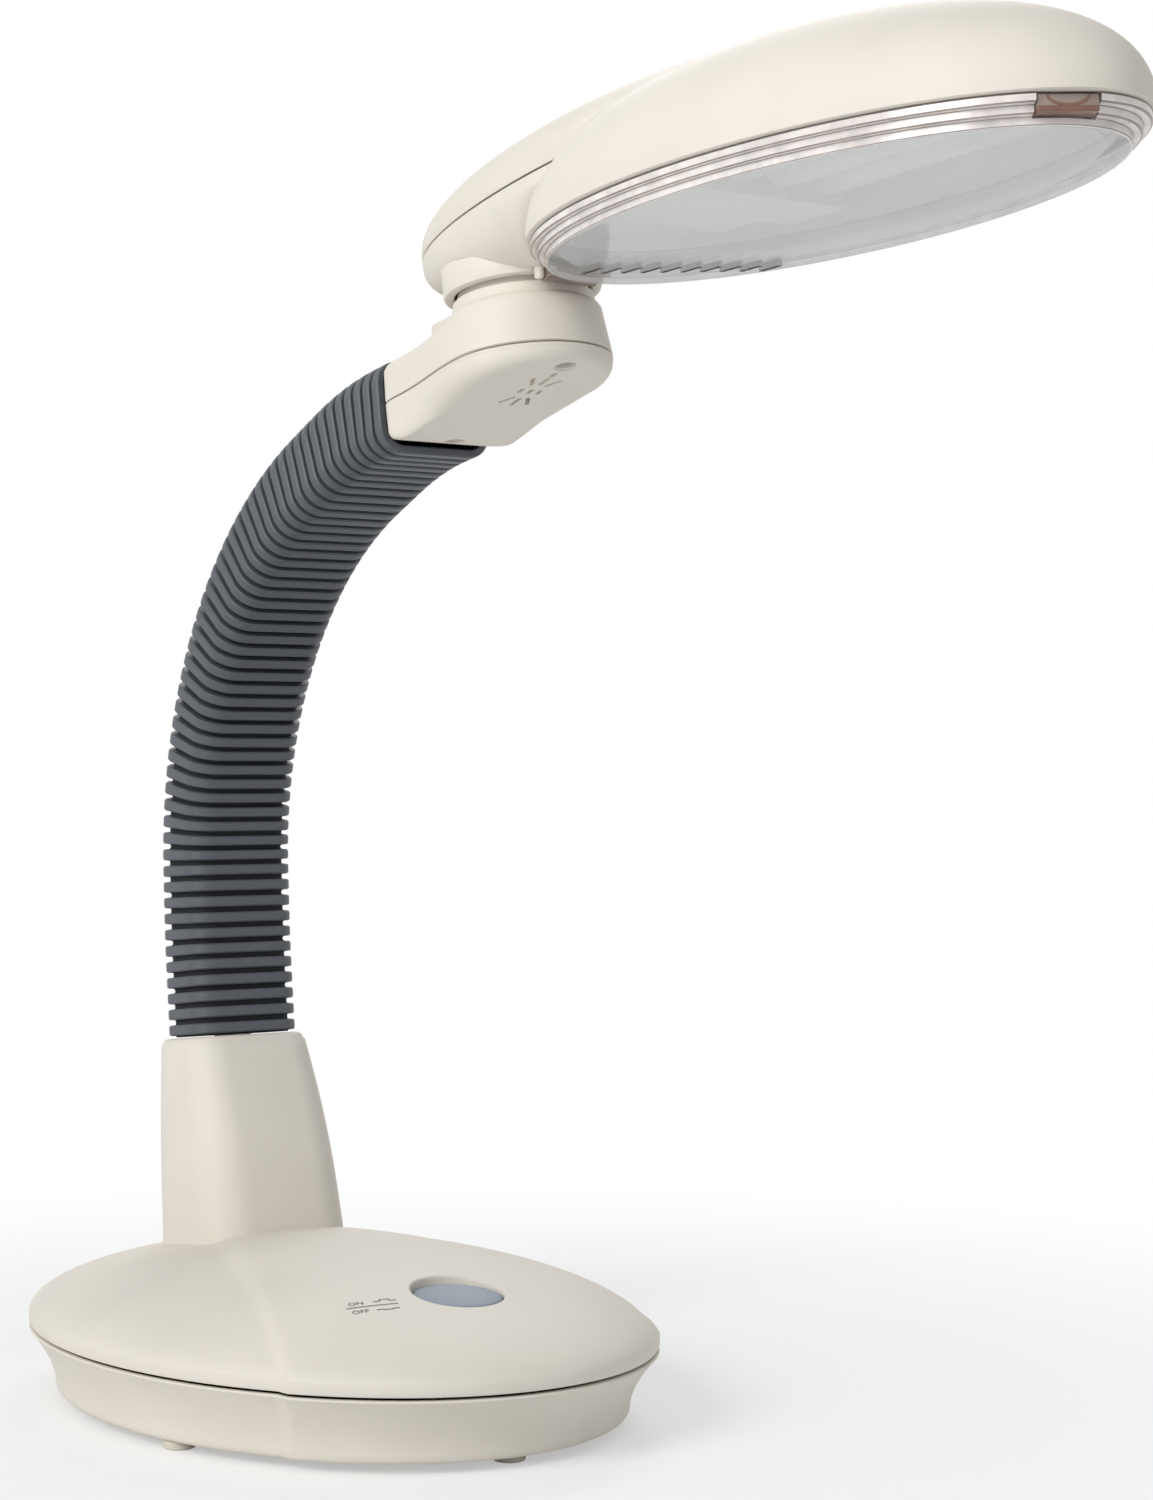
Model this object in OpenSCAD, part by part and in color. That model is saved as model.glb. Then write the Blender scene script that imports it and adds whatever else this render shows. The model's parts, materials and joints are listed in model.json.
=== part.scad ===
// Desk lamp: oval weighted base, column, ribbed gooseneck and a swivelling head with a compact lamp.
// Millimetres, +Z up, the front along -Y, the origin on the desk under the middle of the base.

/* [Base] */
// Half width of the base at its seam
base_half_w = 101; // [92:1:112]
// Half length of the base at its seam, front to back
base_half_l = 136; // [126:1:148]
// Height of the seam between tray and cover above the desk
seam_z = 27; // [24:0.5:32]
// Height of the cover's crown above the seam
dome_h = 30; // [27:0.5:34]
// Height of the upright rim of the cover
rim_h = 4; // [3:0.5:6]
// Roundness of the cover's profile, 2 for an ellipse and less for a cone
cover_shape = 1.7; // [1.5:0.05:2]
// How far the tray narrows from the seam to its bottom
tray_taper = 9; // [4:0.5:12]
// Wall of the base mouldings
base_wall = 2.6; // [2:0.1:3.2]
// How far the front lobe steps out past the oval
lobe_step = 2.4; // [1:0.1:3.5]
// How far the front lobe stands above the dome
lobe_lift = 1.8; // [0.8:0.1:2.4]
// Angle at which each edge of the front lobe spreads from the column
lobe_spread = 20; // [15:1:25]
// Gap shown at a seam between two mouldings
seam_gap = 0.4; // [0.2:0.1:0.8]
// Diameter of a rubber foot
foot_d = 11; // [8:0.5:14]
// Height of a rubber foot
foot_h = 3.5; // [3:0.5:5]
// Number of feet, the first at the front
foot_count = 5; // [3:1:7]
// Thickness of the ballast weight
weight_h = 9; // [6:0.5:11]
// Distance from the tray's oval to the weight's edge
weight_inset = 16; // [13:1:24]
// Half spacing of the base screws across
base_screw_x = 62; // [58:1:66]
// Half spacing of the base screws front to back
base_screw_y = 78; // [74:1:84]

/* [Button] */
// Diameter of the push button
button_d = 31; // [26:1:36]
// Distance of the button in front of the middle
button_front = 80; // [74:1:88]
// Angle by which the button's axis leans forward
button_lean = 5; // [0:1:9]
// Travel of the button
button_travel = 3; // [2:0.5:4]
// Clearance round the button
button_clear = 0.4; // [0.3:0.1:0.6]
// Diameter of the switch plunger
plunger_d = 8; // [6:0.5:10]

/* [Column] */
// Width of the column's foot
foot_w = 60; // [56:1:66]
// Depth of the column's foot
foot_l = 56; // [52:1:60]
// Width of the column's top
column_top_w = 50; // [48:1:56]
// Depth of the column's top
column_top_l = 38; // [36:1:44]
// Distance of the column's foot behind the middle
column_back = 60; // [56:1:64]
// Distance of the column's top behind the middle
column_top_back = 76; // [70:1:82]
// Height of the column's top above the desk
column_top_z = 126; // [116:1:140]
// Wall of the column
column_wall = 3; // [2.4:0.1:4]

/* [Gooseneck] */
// Width of the ribbed sleeve
neck_w = 44; // [40:1:46]
// Depth of the ribbed sleeve, in the plane in which it bends forward
neck_l = 32; // [28:1:34]
// Corner radius of a rib
rib_r = 10; // [6:0.5:12]
// Ribs on one sleeve segment
ribs_per_segment = 3; // [2:1:4]
// Length of a rib along the neck
rib_h = 3.55; // [3.2:0.05:3.9]
// Width of a groove between two ribs
groove_h = 2.25; // [1.9:0.05:2.6]
// Depth of a groove
groove_depth = 2.6; // [1.5:0.1:3.5]
// Free gap between two sleeve segments
bend_gap = 2.85; // [2.75:0.05:3.3]
// Angle from straight ahead at which the neck leaves the column
neck_start = 96; // [92:1:100]
// Forward turn at each bending joint
bend_turn = 7; // [6:0.1:7.5]
// Forward turn at the first bending joint
first_turn = 3; // [1:0.1:5]
// Diameter of the steel core
core_d = 14; // [11:0.5:16]
// Diameter of the wire channel in the core
core_bore = 8; // [6:0.5:9]
// Clearance of the core in the sleeve
core_clear = 0.35; // [0.3:0.05:0.5]

/* [Knuckle] */
// Distance from the neck's end to the swivel axis
arm_len = 58; // [56:1:64]
// Width of the knuckle at the neck
arm_w = 45; // [44:1:48]
// Radius of the drum at the seam
drum_r = 27.5; // [25:0.5:30]
// Radius of the drum at its top
drum_top_r = 25; // [23:0.5:25.5]
// Height of the drum above the seam
drum_h = 14; // [12:0.5:15]
// Height of the arm above the seam
arm_h = 12; // [10:0.5:13]
// Depth of the lower cover at its front
cover_front_h = 9.5; // [8:0.5:12]
// Depth of the lower cover at the neck
cover_back_h = 15; // [13:0.5:17]
// Wall of the knuckle mouldings
knuckle_wall = 2.4; // [2:0.1:3]
// Radius of the collar
collar_r = 21.5; // [20:0.5:22]
// Height of the collar's top above the seam
collar_h = 25; // [24:0.5:26]
// Diameter of the hollow swivel shaft
shaft_d = 18; // [15:0.5:20]
// Running clearance of the shaft, on the radius
shaft_clear = 0.05; // [0.03:0.01:0.1]

/* [Head] */
// Half width of the head's oval at its lip
head_half_w = 56; // [52:0.5:61]
// Half length of the head's oval at its lip
head_half_l = 123; // [116:1:132]
// Height of the head's crown above the lip
crown_h = 41; // [38:1:45]
// Wall of the head mouldings
head_wall = 2.4; // [2:0.1:3]
// Front-up tilt of the lip plane
head_tilt = 2.25; // [1:0.25:5]
// Distance from the swivel axis to the middle of the oval
head_ahead = 150; // [149:1:160]
// Height of the lip plane above the collar at the swivel axis
lip_rise = 3.5; // [2.5:0.25:5]
// Length of the tail behind the swivel axis
tail_back = 50; // [46:1:56]
// Half width of the tail where it meets the oval
tail_half_w = 32; // [29:0.5:35]
// Half thickness of the tail
tail_half_h = 21; // [19:0.5:22]
// Height of the tail's seam above the lip plane, in the middle of the tail
tail_seam_h = 21; // [19:0.5:23]
// Fall of the tail's seam towards the back
tail_tilt = 5.7; // [4:0.1:7]
// Outer radius of the swivel skirt
skirt_r = 26; // [25:0.5:26.5]

/* [Diffuser] */
// Depth of the diffuser below the lip
lens_h = 7.5; // [6:0.5:9]
// Wall of the diffuser
lens_wall = 1.8; // [1.5:0.1:2.2]
// Width of each step of the diffuser's rim
lens_step = 1.5; // [1:0.1:2]
// Height of the spigot that enters the shell
spigot_h = 2.5; // [1.5:0.25:3]
// Clearance of the diffuser in the shell
lens_clear = 0.6; // [0.5:0.1:0.8]
// Number of louvre slots
louvre_count = 10; // [6:1:12]
// Pitch of the louvre slots
louvre_pitch = 6.2; // [5:0.1:7]
// Width of the latch tab
latch_w = 16; // [12:1:20]
// Diameter of the hinge pin
hinge_pin_d = 2.4; // [2:0.1:2.8]

/* [Lamp] */
// Diameter of a lamp tube
tube_d = 13; // [11:0.5:14]
// Pitch of the tubes
tube_pitch = 17; // [16:0.5:18]
// Number of tubes
tube_count = 4; // [2:2:4]
// Length of the tubes in front of the cap
tube_len = 104; // [90:1:107]
// Height of the tube axes above the lip plane
tube_z = 12; // [11:0.5:12.5]
// Length of the lamp cap
cap_len = 28; // [24:1:32]
// Distance of the cap's back behind the middle of the oval
cap_back = 54; // [50:1:56]
// Pull of the lamp out of its socket
lamp_travel = 8; // [6:0.5:9]

/* [Hidden] */
$fn = 64;
eps = 0.01;
profile_step = 9;
cast_colour = "#6b6e70";
ivory = "#e4dfd4";
slate = "#50555a";
steel = "#b9bcbf";
clear_tint = [0.82, 0.84, 0.85, 0.6];

base_ratio = base_half_l / base_half_w;
tray_bottom = foot_h;
tray_floor = tray_bottom + base_wall;
tray_knee_in = 0.55 * tray_taper;
tray_knee_up = 0.35;
weight_top = tray_floor + weight_h;
weight_half_w = base_half_w - tray_taper - weight_inset;
foot_inset = foot_d / 2 + 2;
screw_r = 1.5;
screw_hole_r = 1.7;
screw_head_r = 3;
screw_head_h = 2;
screw_tip_gap = 0.5;
boss_r = 4.5;
boss_hole_h = 10;
column_corner = 17;
column_top_corner = 12;
column_sink = 16;
column_foot_z = seam_z + dome_h - column_sink;
column_clear = 0.25;
column_straight_h = 15;
column_lean = max(0, column_top_back + column_top_l / 2 - column_back - foot_l / 2);
column_lean_room = column_lean * column_sink / (column_top_z - column_foot_z);
column_screw_reach = 2.5;
lobe_overrun = 40;
lobe_root_inset = 2;
lug_r = 6;
lug_h = 3;
lug_x = foot_w / 2 + lug_r + 1;
board_w = 70;
board_l = 60;
board_y = column_back - 25;
board_z = weight_top + 5;
board_t = 1.6;
board_edge = 5;
post_r = 3;
choke_w = 26;
choke_l = 22;
choke_h = 15;
choke_gap = 4;
can_r = 4.5;
can_h = 16;
can_gap = 5;
can_step_h = 3;
can_step_r = 0.5;
switch_w = 24;
switch_top = 8;
switch_foot_h = 4;
plunger_low = -2;
button_h = 9;
button_crown = 3;
button_recess = 1;
inlet_r = 6;
inlet_bore = 7;
inlet_flange_r = 8;
inlet_flange_h = 2.5;
inlet_cut = 60;
inlet_lift = 0.5;
inlet_z = tray_floor + inlet_flange_r + inlet_lift;

neck_segments = 17;
sway_joints = [1, 3, 14];
first_bend = 2;
segment_len = ribs_per_segment * rib_h + (ribs_per_segment - 1) * groove_h;
segment_pitch = segment_len + bend_gap;
core_r = core_d / 2;
core_sides = 12;
core_hole_r = core_r + core_clear;
core_tail = 24;
clamp_r = core_r + 4;
clamp_flange_r = clamp_r + 5;
clamp_len = 20;
clamp_flange_h = 3;
column_cap_h = 6;
sleeve_gap = 0.4;

knuckle_tilt = neck_angle(neck_segments - 1);
shaft_r = shaft_d / 2;
shaft_wall = 3.2;
shaft_hole_r = shaft_r + shaft_clear;
deck_h = 4.5;
washer_h = 1.5;
washer_w = 7;
ring_h = 2;
ring_w = 6;
ring_gap = 0.3;
collar_step_r = (drum_top_r + collar_r) / 2;
collar_step_h = drum_h + 4;
arm_top = arm_h - 3;
arm_slope = 6;
sweep_r = 12;
end_wall = 6;
arm_straight = 12;
belly_back = 14;
belly_rise = 2;
screw_seat = 6;
clamp_seat = clamp_r + 1;
screw_reach = 5;
vent_y = 14;
vent_r = 9;
vent_slots = 12;
vent_slot_w = 1.2;
stop_len = 13;
stop_h = 5;
stop_w = 18;
stop_front = drum_top_r + 2;
knuckle_screw_front = boss_r - 0.5 - (drum_r - knuckle_wall - 1);
knuckle_screw_back = arm_len - 10;

head_ratio = head_half_l / head_half_w;
tail_len = 105;
tail_middle = head_ahead + tail_back - tail_len;
dome_power = 2.3;
tail_power = 2.6;
part_gap = 0.3;
lens_rim_inset = 1.6;
lens_rim_half_w = head_half_w - lens_rim_inset;
lens_ratio = (head_half_l - lens_rim_inset) / lens_rim_half_w;
inner_half_w = head_half_w - head_wall;
inner_next = quarter(inner_half_w, crown_h - head_wall, dome_power)[1];
spigot_wall_w = inner_half_w - (inner_half_w - inner_next.x) * spigot_h / inner_next.y;
spigot_wall_l = spigot_wall_w * head_ratio;
lens_half_w = min(spigot_wall_w - lens_clear, (spigot_wall_l - lens_clear) / lens_ratio);
hinge_barrel_r = 2.2;
hinge_drop = 1.5;
hinge_nest = 0.2;
hinge_y = lens_rim_half_w * lens_ratio + hinge_barrel_r - hinge_nest;
hinge_z = -(hinge_barrel_r + part_gap + hinge_drop);
hinge_ceiling = hinge_z + hinge_barrel_r + part_gap;
hinge_half_w = 10;
hinge_lug_w = 4;
hinge_lug_t = 2;
shaft_flange_h = 2;
shaft_flange_w = 5;
shaft_rise = 3;
skirt_lap = 2;
skirt_top = 4;
head_room = 300;
skirt_clear = 0.7;
hinge_bridge = 10;
hinge_bridge_t = 2.2;
latch_x = -14;
latch_side = sqrt(pow(lens_rim_half_w, 2) - pow(latch_x, 2));
latch_y = -lens_ratio * latch_side;
latch_turn = atan(lens_ratio * latch_x / latch_side);
latch_bend_r = pow(pow(lens_ratio * latch_x, 2) + pow(latch_side, 2), 1.5)
  / (lens_ratio * pow(lens_rim_half_w, 2));
latch_bow = pow(latch_w / 2, 2) / (2 * latch_bend_r);
latch_clear = 0.4;
latch_front = latch_bow + latch_clear;
latch_plate_y = max(latch_wall(-latch_w / 2), latch_wall(latch_w / 2)) + latch_clear;
latch_t = 2;
latch_heel = 3;
latch_len = latch_plate_y - latch_front + latch_t + latch_heel;
latch_gap = 0.6;
notch_out = 5;
latch_ledge_h = 1.6;
latch_hook = 1.6;
louvre_x = -10;
louvre_y = 93;
louvre_turn = -33;
louvre_len = 10;
louvre_w = 1.6;
liner_gap = 0.8;
liner_t = 1;
liner_half_w = head_half_w - head_wall - liner_gap - liner_t;
liner_crown = crown_h - head_wall - liner_gap - liner_t;
liner_lift = 0.6;
liner_bottom = spigot_h + liner_lift;
seat_gap = 0.5;
cap_side = 4;
cap_rise = 5;
cap_w = tube_pitch * (tube_count - 1) + tube_d + cap_side;
cap_h = tube_d + cap_rise;
socket_len = 18;
socket_w = 44;
socket_stem_w = 20;
socket_stem_len = 10;
socket_y = cap_back + part_gap;
pin_r = 1.2;
pin_len = 7;
pin_pitch = 8;
pin_clear = 0.08;
clip_y = -44;
clip_t = 1.2;
clip_len = 8;
tail_screw_x = 11;
tail_screw_y = head_ahead + 30;
tail_screw_depth = 5;
tail_screw_reach = 4;
tail_boss_r = 4;
inlet_out = 6;
inlet_in = 8;

sleeve_names = [for (i = [1:neck_segments]) str("neck_sleeve_", i < 10 ? "0" : "", i)];

// Sum of a list
function total(v, i = 0) = i >= len(v) ? 0 : v[i] + total(v, i + 1);
// Forward turn of the neck at joint j, counted from the column
function neck_turn(j) = len(search(j, sway_joints)) > 0 ? 0
  : j == first_bend ? first_turn
  : bend_turn;
// Angle of segment i from straight ahead
function neck_angle(i) = neck_start - (i < 1 ? 0 : total([for (j = [1:i]) neck_turn(j)]));
// Direction of segment i
function neck_dir(i) = [0, -cos(neck_angle(i)), sin(neck_angle(i))];
// Joint in front of segment i, the first one at the column's top
function neck_joint(i) = i < 1 ? [0, column_top_back, column_top_z]
  : neck_joint(i - 1) + segment_pitch * neck_dir(i - 1);
// Quarter of a superellipse from the rim to the crown
function quarter(r, h, power) = [
  for (t = [0:profile_step:90]) [r * pow(cos(t), 2 / power), h * pow(sin(t), 2 / power)]
];
// Height of such a dome over a point whose distance from the middle is r
function dome_z(r, half_w, crown, power) = crown * pow(1 - pow(r / half_w, power), 1 / power);
// Inside of the head's liner over a point of the lip plane
function liner_z(x, y) = dome_z(norm([x, y / head_ratio]), liner_half_w, liner_crown, dome_power);
// Underside of the tail over a point of the lip plane
function tail_under(x, y) = tail_seam_h - (y - tail_middle) * tan(tail_tilt)
  - dome_z(norm([x * tail_len / tail_half_w, y - tail_middle]), tail_len, tail_half_h, tail_power);
// Way inwards from the latch's origin to the shell's inner wall, at u across the latch
function latch_wall(u) = let (
    x = latch_x + u * cos(latch_turn),
    y = latch_y + u * sin(latch_turn),
    p = pow(sin(latch_turn) / spigot_wall_w, 2) + pow(cos(latch_turn) / spigot_wall_l, 2),
    q = y * cos(latch_turn) / pow(spigot_wall_l, 2) - x * sin(latch_turn) / pow(spigot_wall_w, 2),
    r = pow(x / spigot_wall_w, 2) + pow(y / spigot_wall_l, 2) - 1
  ) (-q - sqrt(pow(q, 2) - p * r)) / p;
function raised(points, z) = [for (p = points) [p.x, p.y + z]];
function reversed(v) = [for (i = [len(v) - 1:-1:0]) v[i]];

// Placement of what belongs to neck segment i, with +Z along the neck
module at_segment(i) {
  translate(neck_joint(i)) rotate([90 - neck_angle(i), 0, 0]) children();
}
// Placement at the knuckle: origin where the swivel axis meets the seam, +Y towards the neck
module at_knuckle() {
  translate(neck_joint(neck_segments)) rotate([-knuckle_tilt, 0, 0])
    translate([0, -arm_len, 0]) children();
}
// Placement at the head: origin in the middle of the oval on the lip plane
module at_head() {
  at_knuckle() translate([0, 0, collar_h]) rotate([knuckle_tilt - head_tilt, 0, 0])
    translate([0, -head_ahead, lip_rise]) children();
}
module at_button() {
  translate([0, -button_front, seam_z]) rotate([button_lean, 0, 0]) children();
}
// Revolved profile stretched to an oval, as two halves
module oval(x_ratio, y_ratio) {
  for (a = [0, 180]) scale([x_ratio, y_ratio, 1]) rotate([0, 0, a]) rotate_extrude(angle = 180) children();
}
module rounded_rect(w, l, r) {
  square([w - 2 * r, l], center = true);
  square([w, l - 2 * r], center = true);
  for (x = [-1, 1], y = [-1, 1]) translate([x * (w / 2 - r), y * (l / 2 - r)]) circle(r);
}
module tube(h, r_out, r_in) {
  difference() {
    cylinder(h = h, r = r_out);
    translate([0, 0, -1]) cylinder(h = h + 2, r = r_in);
  }
}
// Screw with a round head, its head below and its shank up from z = 0
module screw(shank) {
  cylinder(h = shank, r = screw_r);
  translate([0, 0, -screw_head_h]) cylinder(h = screw_head_h, r = screw_head_r);
}
module base_screw_places() {
  for (x = [-1, 1], y = [-1, 1]) translate([x * base_screw_x, y * base_screw_y, 0]) children();
}

module column_screw_places() {
  for (x = [-1, 1]) translate([x * lug_x, column_back, column_foot_z]) children();
}

// Outline of the front lobe seen from above, from the column's front corners to past the rim
module lobe_plan() {
  root_x = foot_w / 2 - lobe_root_inset;
  root_y = column_back - foot_l / 2;
  reach = root_y + base_half_l + lobe_overrun;
  far_x = root_x + reach * tan(lobe_spread);
  polygon([[-root_x, root_y], [root_x, root_y], [far_x, root_y - reach], [-far_x, root_y - reach]]);
}
module dome_solid(half_w, crown) {
  oval(1, base_ratio) polygon(concat([[0, seam_z + seam_gap / 2], [half_w, seam_z + seam_gap / 2]],
    raised(quarter(half_w, crown - rim_h, cover_shape), seam_z + rim_h)));
}
module tray_solid(half_w, bottom, top) {
  oval(1, base_ratio) polygon([[0, bottom], [half_w - tray_taper, bottom],
    [half_w - tray_knee_in, bottom + (top - bottom) * tray_knee_up], [half_w, top], [0, top]]);
}
module with_lobe(height) {
  children(0);
  intersection() {
    children(1);
    linear_extrude(height) lobe_plan();
  }
}

module base_cover() {
  color(ivory) difference() {
    union() {
      difference() {
        with_lobe(seam_z + 2 * dome_h) {
          dome_solid(base_half_w, dome_h);
          dome_solid(base_half_w + lobe_step, dome_h + lobe_lift);
        }
        translate([0, 0, -eps]) dome_solid(base_half_w - base_wall, dome_h - base_wall);
      }
      intersection() {
        dome_solid(base_half_w - base_wall / 2, dome_h - base_wall / 2);
        base_screw_places() cylinder(h = seam_z + dome_h, r = boss_r);
      }
      intersection() {
        dome_solid(base_half_w - base_wall / 2, dome_h - base_wall / 2);
        column_screw_places() translate([0, 0, lug_h]) cylinder(h = dome_h, r = boss_r);
      }
    }
    base_screw_places() cylinder(h = seam_z + boss_hole_h, r = screw_hole_r);
    column_screw_places() cylinder(h = lug_h + column_screw_reach + 1, r = screw_hole_r);
    at_button() cylinder(h = 2 * dome_h, d = button_d + 2 * button_clear);
    translate([0, column_back + column_lean_room / 2, seam_z]) linear_extrude(2 * dome_h)
      rounded_rect(foot_w + 2 * column_clear, foot_l + 2 * column_clear + column_lean_room,
        column_corner + column_clear);
  }
}
module base_tray() {
  top = seam_z - seam_gap / 2;
  color(ivory) difference() {
    with_lobe(seam_z) {
      tray_solid(base_half_w, tray_bottom, top);
      tray_solid(base_half_w + lobe_step, tray_bottom, top);
    }
    translate([0, 0, base_wall]) tray_solid(base_half_w - base_wall, tray_bottom, top);
    base_screw_places() translate([0, 0, -1]) cylinder(h = seam_z, r = screw_hole_r);
    translate([0, base_half_l, inlet_z]) rotate([90, 0, 0])
      cylinder(h = inlet_cut, r = inlet_r + column_clear / 2, center = true);
  }
  color(ivory) base_screw_places() translate([0, 0, tray_floor - eps])
    tube(seam_z - tray_floor - seam_gap, boss_r, screw_hole_r);
}
module rubber_feet() {
  color("#d8d2c6") for (i = [0:foot_count - 1]) {
    a = 360 / foot_count * i;
    w = base_half_w - tray_taper - foot_inset;
    translate([w * sin(a), -w * base_ratio * cos(a), 0]) cylinder(h = foot_h, d = foot_d);
  }
}
module base_screws() {
  color(steel) base_screw_places() translate([0, 0, tray_bottom]) screw(seam_z);
}
module base_weight() {
  color(cast_colour) difference() {
    oval(1, base_ratio) translate([0, tray_floor]) square([weight_half_w, weight_h]);
    base_screw_places() cylinder(h = weight_top + 1, r = boss_r + 1);
  }
}
module board_places() {
  for (x = [-1, 1], y = [-1, 1])
    translate([x * (board_w / 2 - board_edge), board_y + y * (board_l / 2 - board_edge), 0]) children();
}
module board_posts() {
  color("#d9d9d2") board_places() translate([0, 0, weight_top])
    cylinder(h = board_z - weight_top, r = post_r);
}
module ballast_board() {
  color("#5f7a4a") translate([-board_w / 2, board_y - board_l / 2, board_z])
    cube([board_w, board_l, board_t]);
}
module ballast_choke() {
  color("#c9b458") translate([-choke_w - choke_gap, board_y - choke_l / 2, board_z + board_t])
    cube([choke_w, choke_l, choke_h]);
}
module ballast_capacitors() {
  color("#33414f") for (i = [0:2])
    translate([can_r + can_gap + (2 * can_r + 1) * i, board_y, board_z + board_t])
      cylinder(h = can_h - can_step_h * i, r = can_r - can_step_r * i);
}
module switch_body() {
  bottom = weight_top - seam_z + switch_foot_h / 2;
  color("#e9e6df") difference() {
    union() {
      at_button() translate([-switch_w / 2, -switch_w / 2, bottom])
        cube([switch_w, switch_w, switch_top - bottom]);
      translate([-switch_w / 3, -button_front - switch_w / 4, weight_top])
        cube([switch_w * 2 / 3, switch_w / 2, switch_foot_h]);
    }
    at_button() translate([0, 0, plunger_low - button_travel - 1])
      cylinder(h = 2 * dome_h, r = plunger_d / 2 + shaft_clear);
  }
}
module push_button() {
  top = surface_at_button() - button_recess;
  ball = (pow(button_d / 2, 2) + pow(button_crown, 2)) / (2 * button_crown);
  color("#8d949d") at_button() {
    intersection() {
      translate([0, 0, top - button_h]) cylinder(h = button_h, d = button_d);
      translate([0, 0, top - ball]) sphere(ball);
    }
    translate([0, 0, plunger_low]) cylinder(h = top - button_h / 2 - plunger_low, d = plunger_d);
  }
}
// Height of the cover's surface over the seam where the button comes through
function surface_at_button() = rim_h
  + dome_z(button_front, base_half_l + lobe_step * base_ratio, dome_h + lobe_lift - rim_h, cover_shape);
module cord_inlet() {
  wall_y = base_half_l * (base_half_w - tray_taper) / base_half_w;
  color("#3a3c3e") translate([0, wall_y - inlet_in, inlet_z]) rotate([-90, 0, 0]) {
    tube(inlet_in + inlet_out + tray_taper / 2, inlet_r, inlet_bore / 2);
    tube(inlet_flange_h, inlet_flange_r, inlet_bore / 2);
  }
}

module column_slab(w, l, r, h) {
  linear_extrude(h) rounded_rect(w, l, r, $fn = 32);
}
// Tapered body with a straight foot; the inset one is the hollow
module column_body(inset) {
  below = inset > 0 ? 1 : 0;
  hull() {
    translate([0, column_back, column_foot_z - below])
      column_slab(foot_w - 2 * inset, foot_l - 2 * inset, column_corner - inset, column_straight_h + below);
    at_segment(0) translate([0, 0, -1 - below * column_cap_h])
      column_slab(column_top_w - 2 * inset, column_top_l - 2 * inset, column_top_corner - inset, 1);
  }
}
module column() {
  color(ivory) difference() {
    union() {
      column_body(0);
      column_screw_places() cylinder(h = lug_h, r = lug_r);
      translate([-lug_x, column_back - lug_r, column_foot_z]) cube([2 * lug_x, 2 * lug_r, lug_h]);
    }
    column_body(column_wall);
    at_segment(0) translate([0, 0, -core_tail]) cylinder(h = core_tail + 1, r = clamp_r + core_clear);
    column_screw_places() translate([0, 0, -1]) cylinder(h = lug_h + 2, r = screw_hole_r);
  }
}
module column_screws() {
  color(steel) column_screw_places() screw(lug_h + column_screw_reach);
}
module neck_anchor() {
  color(cast_colour) at_segment(0) difference() {
    union() {
      translate([0, 0, -core_tail]) cylinder(h = core_tail - sleeve_gap, r = clamp_r);
      translate([0, 0, -column_cap_h - clamp_flange_h]) cylinder(h = clamp_flange_h, r = clamp_flange_r);
    }
    translate([0, 0, -core_tail - 1]) cylinder(h = core_tail + 2, r = core_hole_r);
  }
}
module neck_sleeve(i) {
  low = i == 0 ? sleeve_gap : bend_gap / 2;
  high = segment_pitch - (i == neck_segments - 1 ? sleeve_gap : bend_gap / 2);
  color(slate) at_segment(i) difference() {
    union() {
      translate([0, 0, low]) linear_extrude(high - low)
        rounded_rect(neck_w - 2 * groove_depth, neck_l - 2 * groove_depth, rib_r - groove_depth);
      for (k = [0:ribs_per_segment - 1]) translate([0, 0, bend_gap / 2 + k * (rib_h + groove_h)])
        linear_extrude(rib_h) rounded_rect(neck_w, neck_l, rib_r);
    }
    cylinder(h = segment_pitch, r = core_hole_r);
  }
}
// Rings of the core: one at each end of every segment, and one in each clamp
function core_place(i, z, r) = [
  for (k = [0:core_sides - 1])
    let (a = 360 / core_sides * k, t = 90 - neck_angle(i), y = r * sin(a))
      neck_joint(i) + [r * cos(a), y * cos(t) - z * sin(t), y * sin(t) + z * cos(t)]
];
function core_rings(r) = concat(
  [core_place(0, -core_tail + 2, r)],
  [for (i = [0:neck_segments - 1], z = [bend_gap / 2, segment_pitch - bend_gap / 2]) core_place(i, z, r)],
  [core_place(neck_segments - 1, segment_pitch + core_tail - 2, r)]
);
// Two triangles of a skin between rings, from corner a to corner b of a ring of n points
function skin(a, b, n, out) = out ? [[a, a + n, b + n], [a, b + n, b]] : [[a, b + n, a + n], [a, b, b + n]];
// Two triangles of an end face between corners a, b outside and c, d inside
function end_face(a, b, c, d, low) = low ? [[a, b, d], [a, d, c]] : [[a, d, b], [a, c, d]];
// Closed skin between an outer and an inner run of rings
module pipe(outer, inner) {
  n = len(outer[0]);
  m = len(outer);
  half = m * n;
  last = half - n;
  points = concat([for (ring = outer, p = ring) p], [for (ring = inner, p = ring) p]);
  walls = [for (j = [0:m - 2], k = [0:n - 1], side = [0, 1])
    let (base = side * half + j * n) each skin(base + k, base + (k + 1) % n, n, side == 0)];
  ends = [for (k = [0:n - 1], base = [0, last])
    let (a = base + k, b = base + (k + 1) % n) each end_face(a, b, a + half, b + half, base == 0)];
  polyhedron(points = points, faces = concat(walls, ends));
}
module neck_core() {
  color(steel) pipe(core_rings(core_r), core_rings(core_bore / 2));
}
module neck_clamp() {
  color(cast_colour) difference() {
    at_segment(neck_segments - 1) translate([0, 0, segment_pitch + sleeve_gap])
      tube(core_tail - sleeve_gap, clamp_r, core_hole_r);
    at_knuckle() translate([0, knuckle_screw_back, -cover_back_h])
      cylinder(h = cover_back_h, r = screw_hole_r);
  }
}

// Outline of the knuckle from above
module knuckle_plan(inset) {
  side = arm_w / 2 - inset;
  drum = drum_r - inset;
  back = arm_len - inset;
  circle(drum);
  bend = arm_len - arm_straight;
  polygon([[-drum, 0], [drum, 0], [side, bend], [side, back], [-side, back], [-side, bend]]);
}
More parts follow.
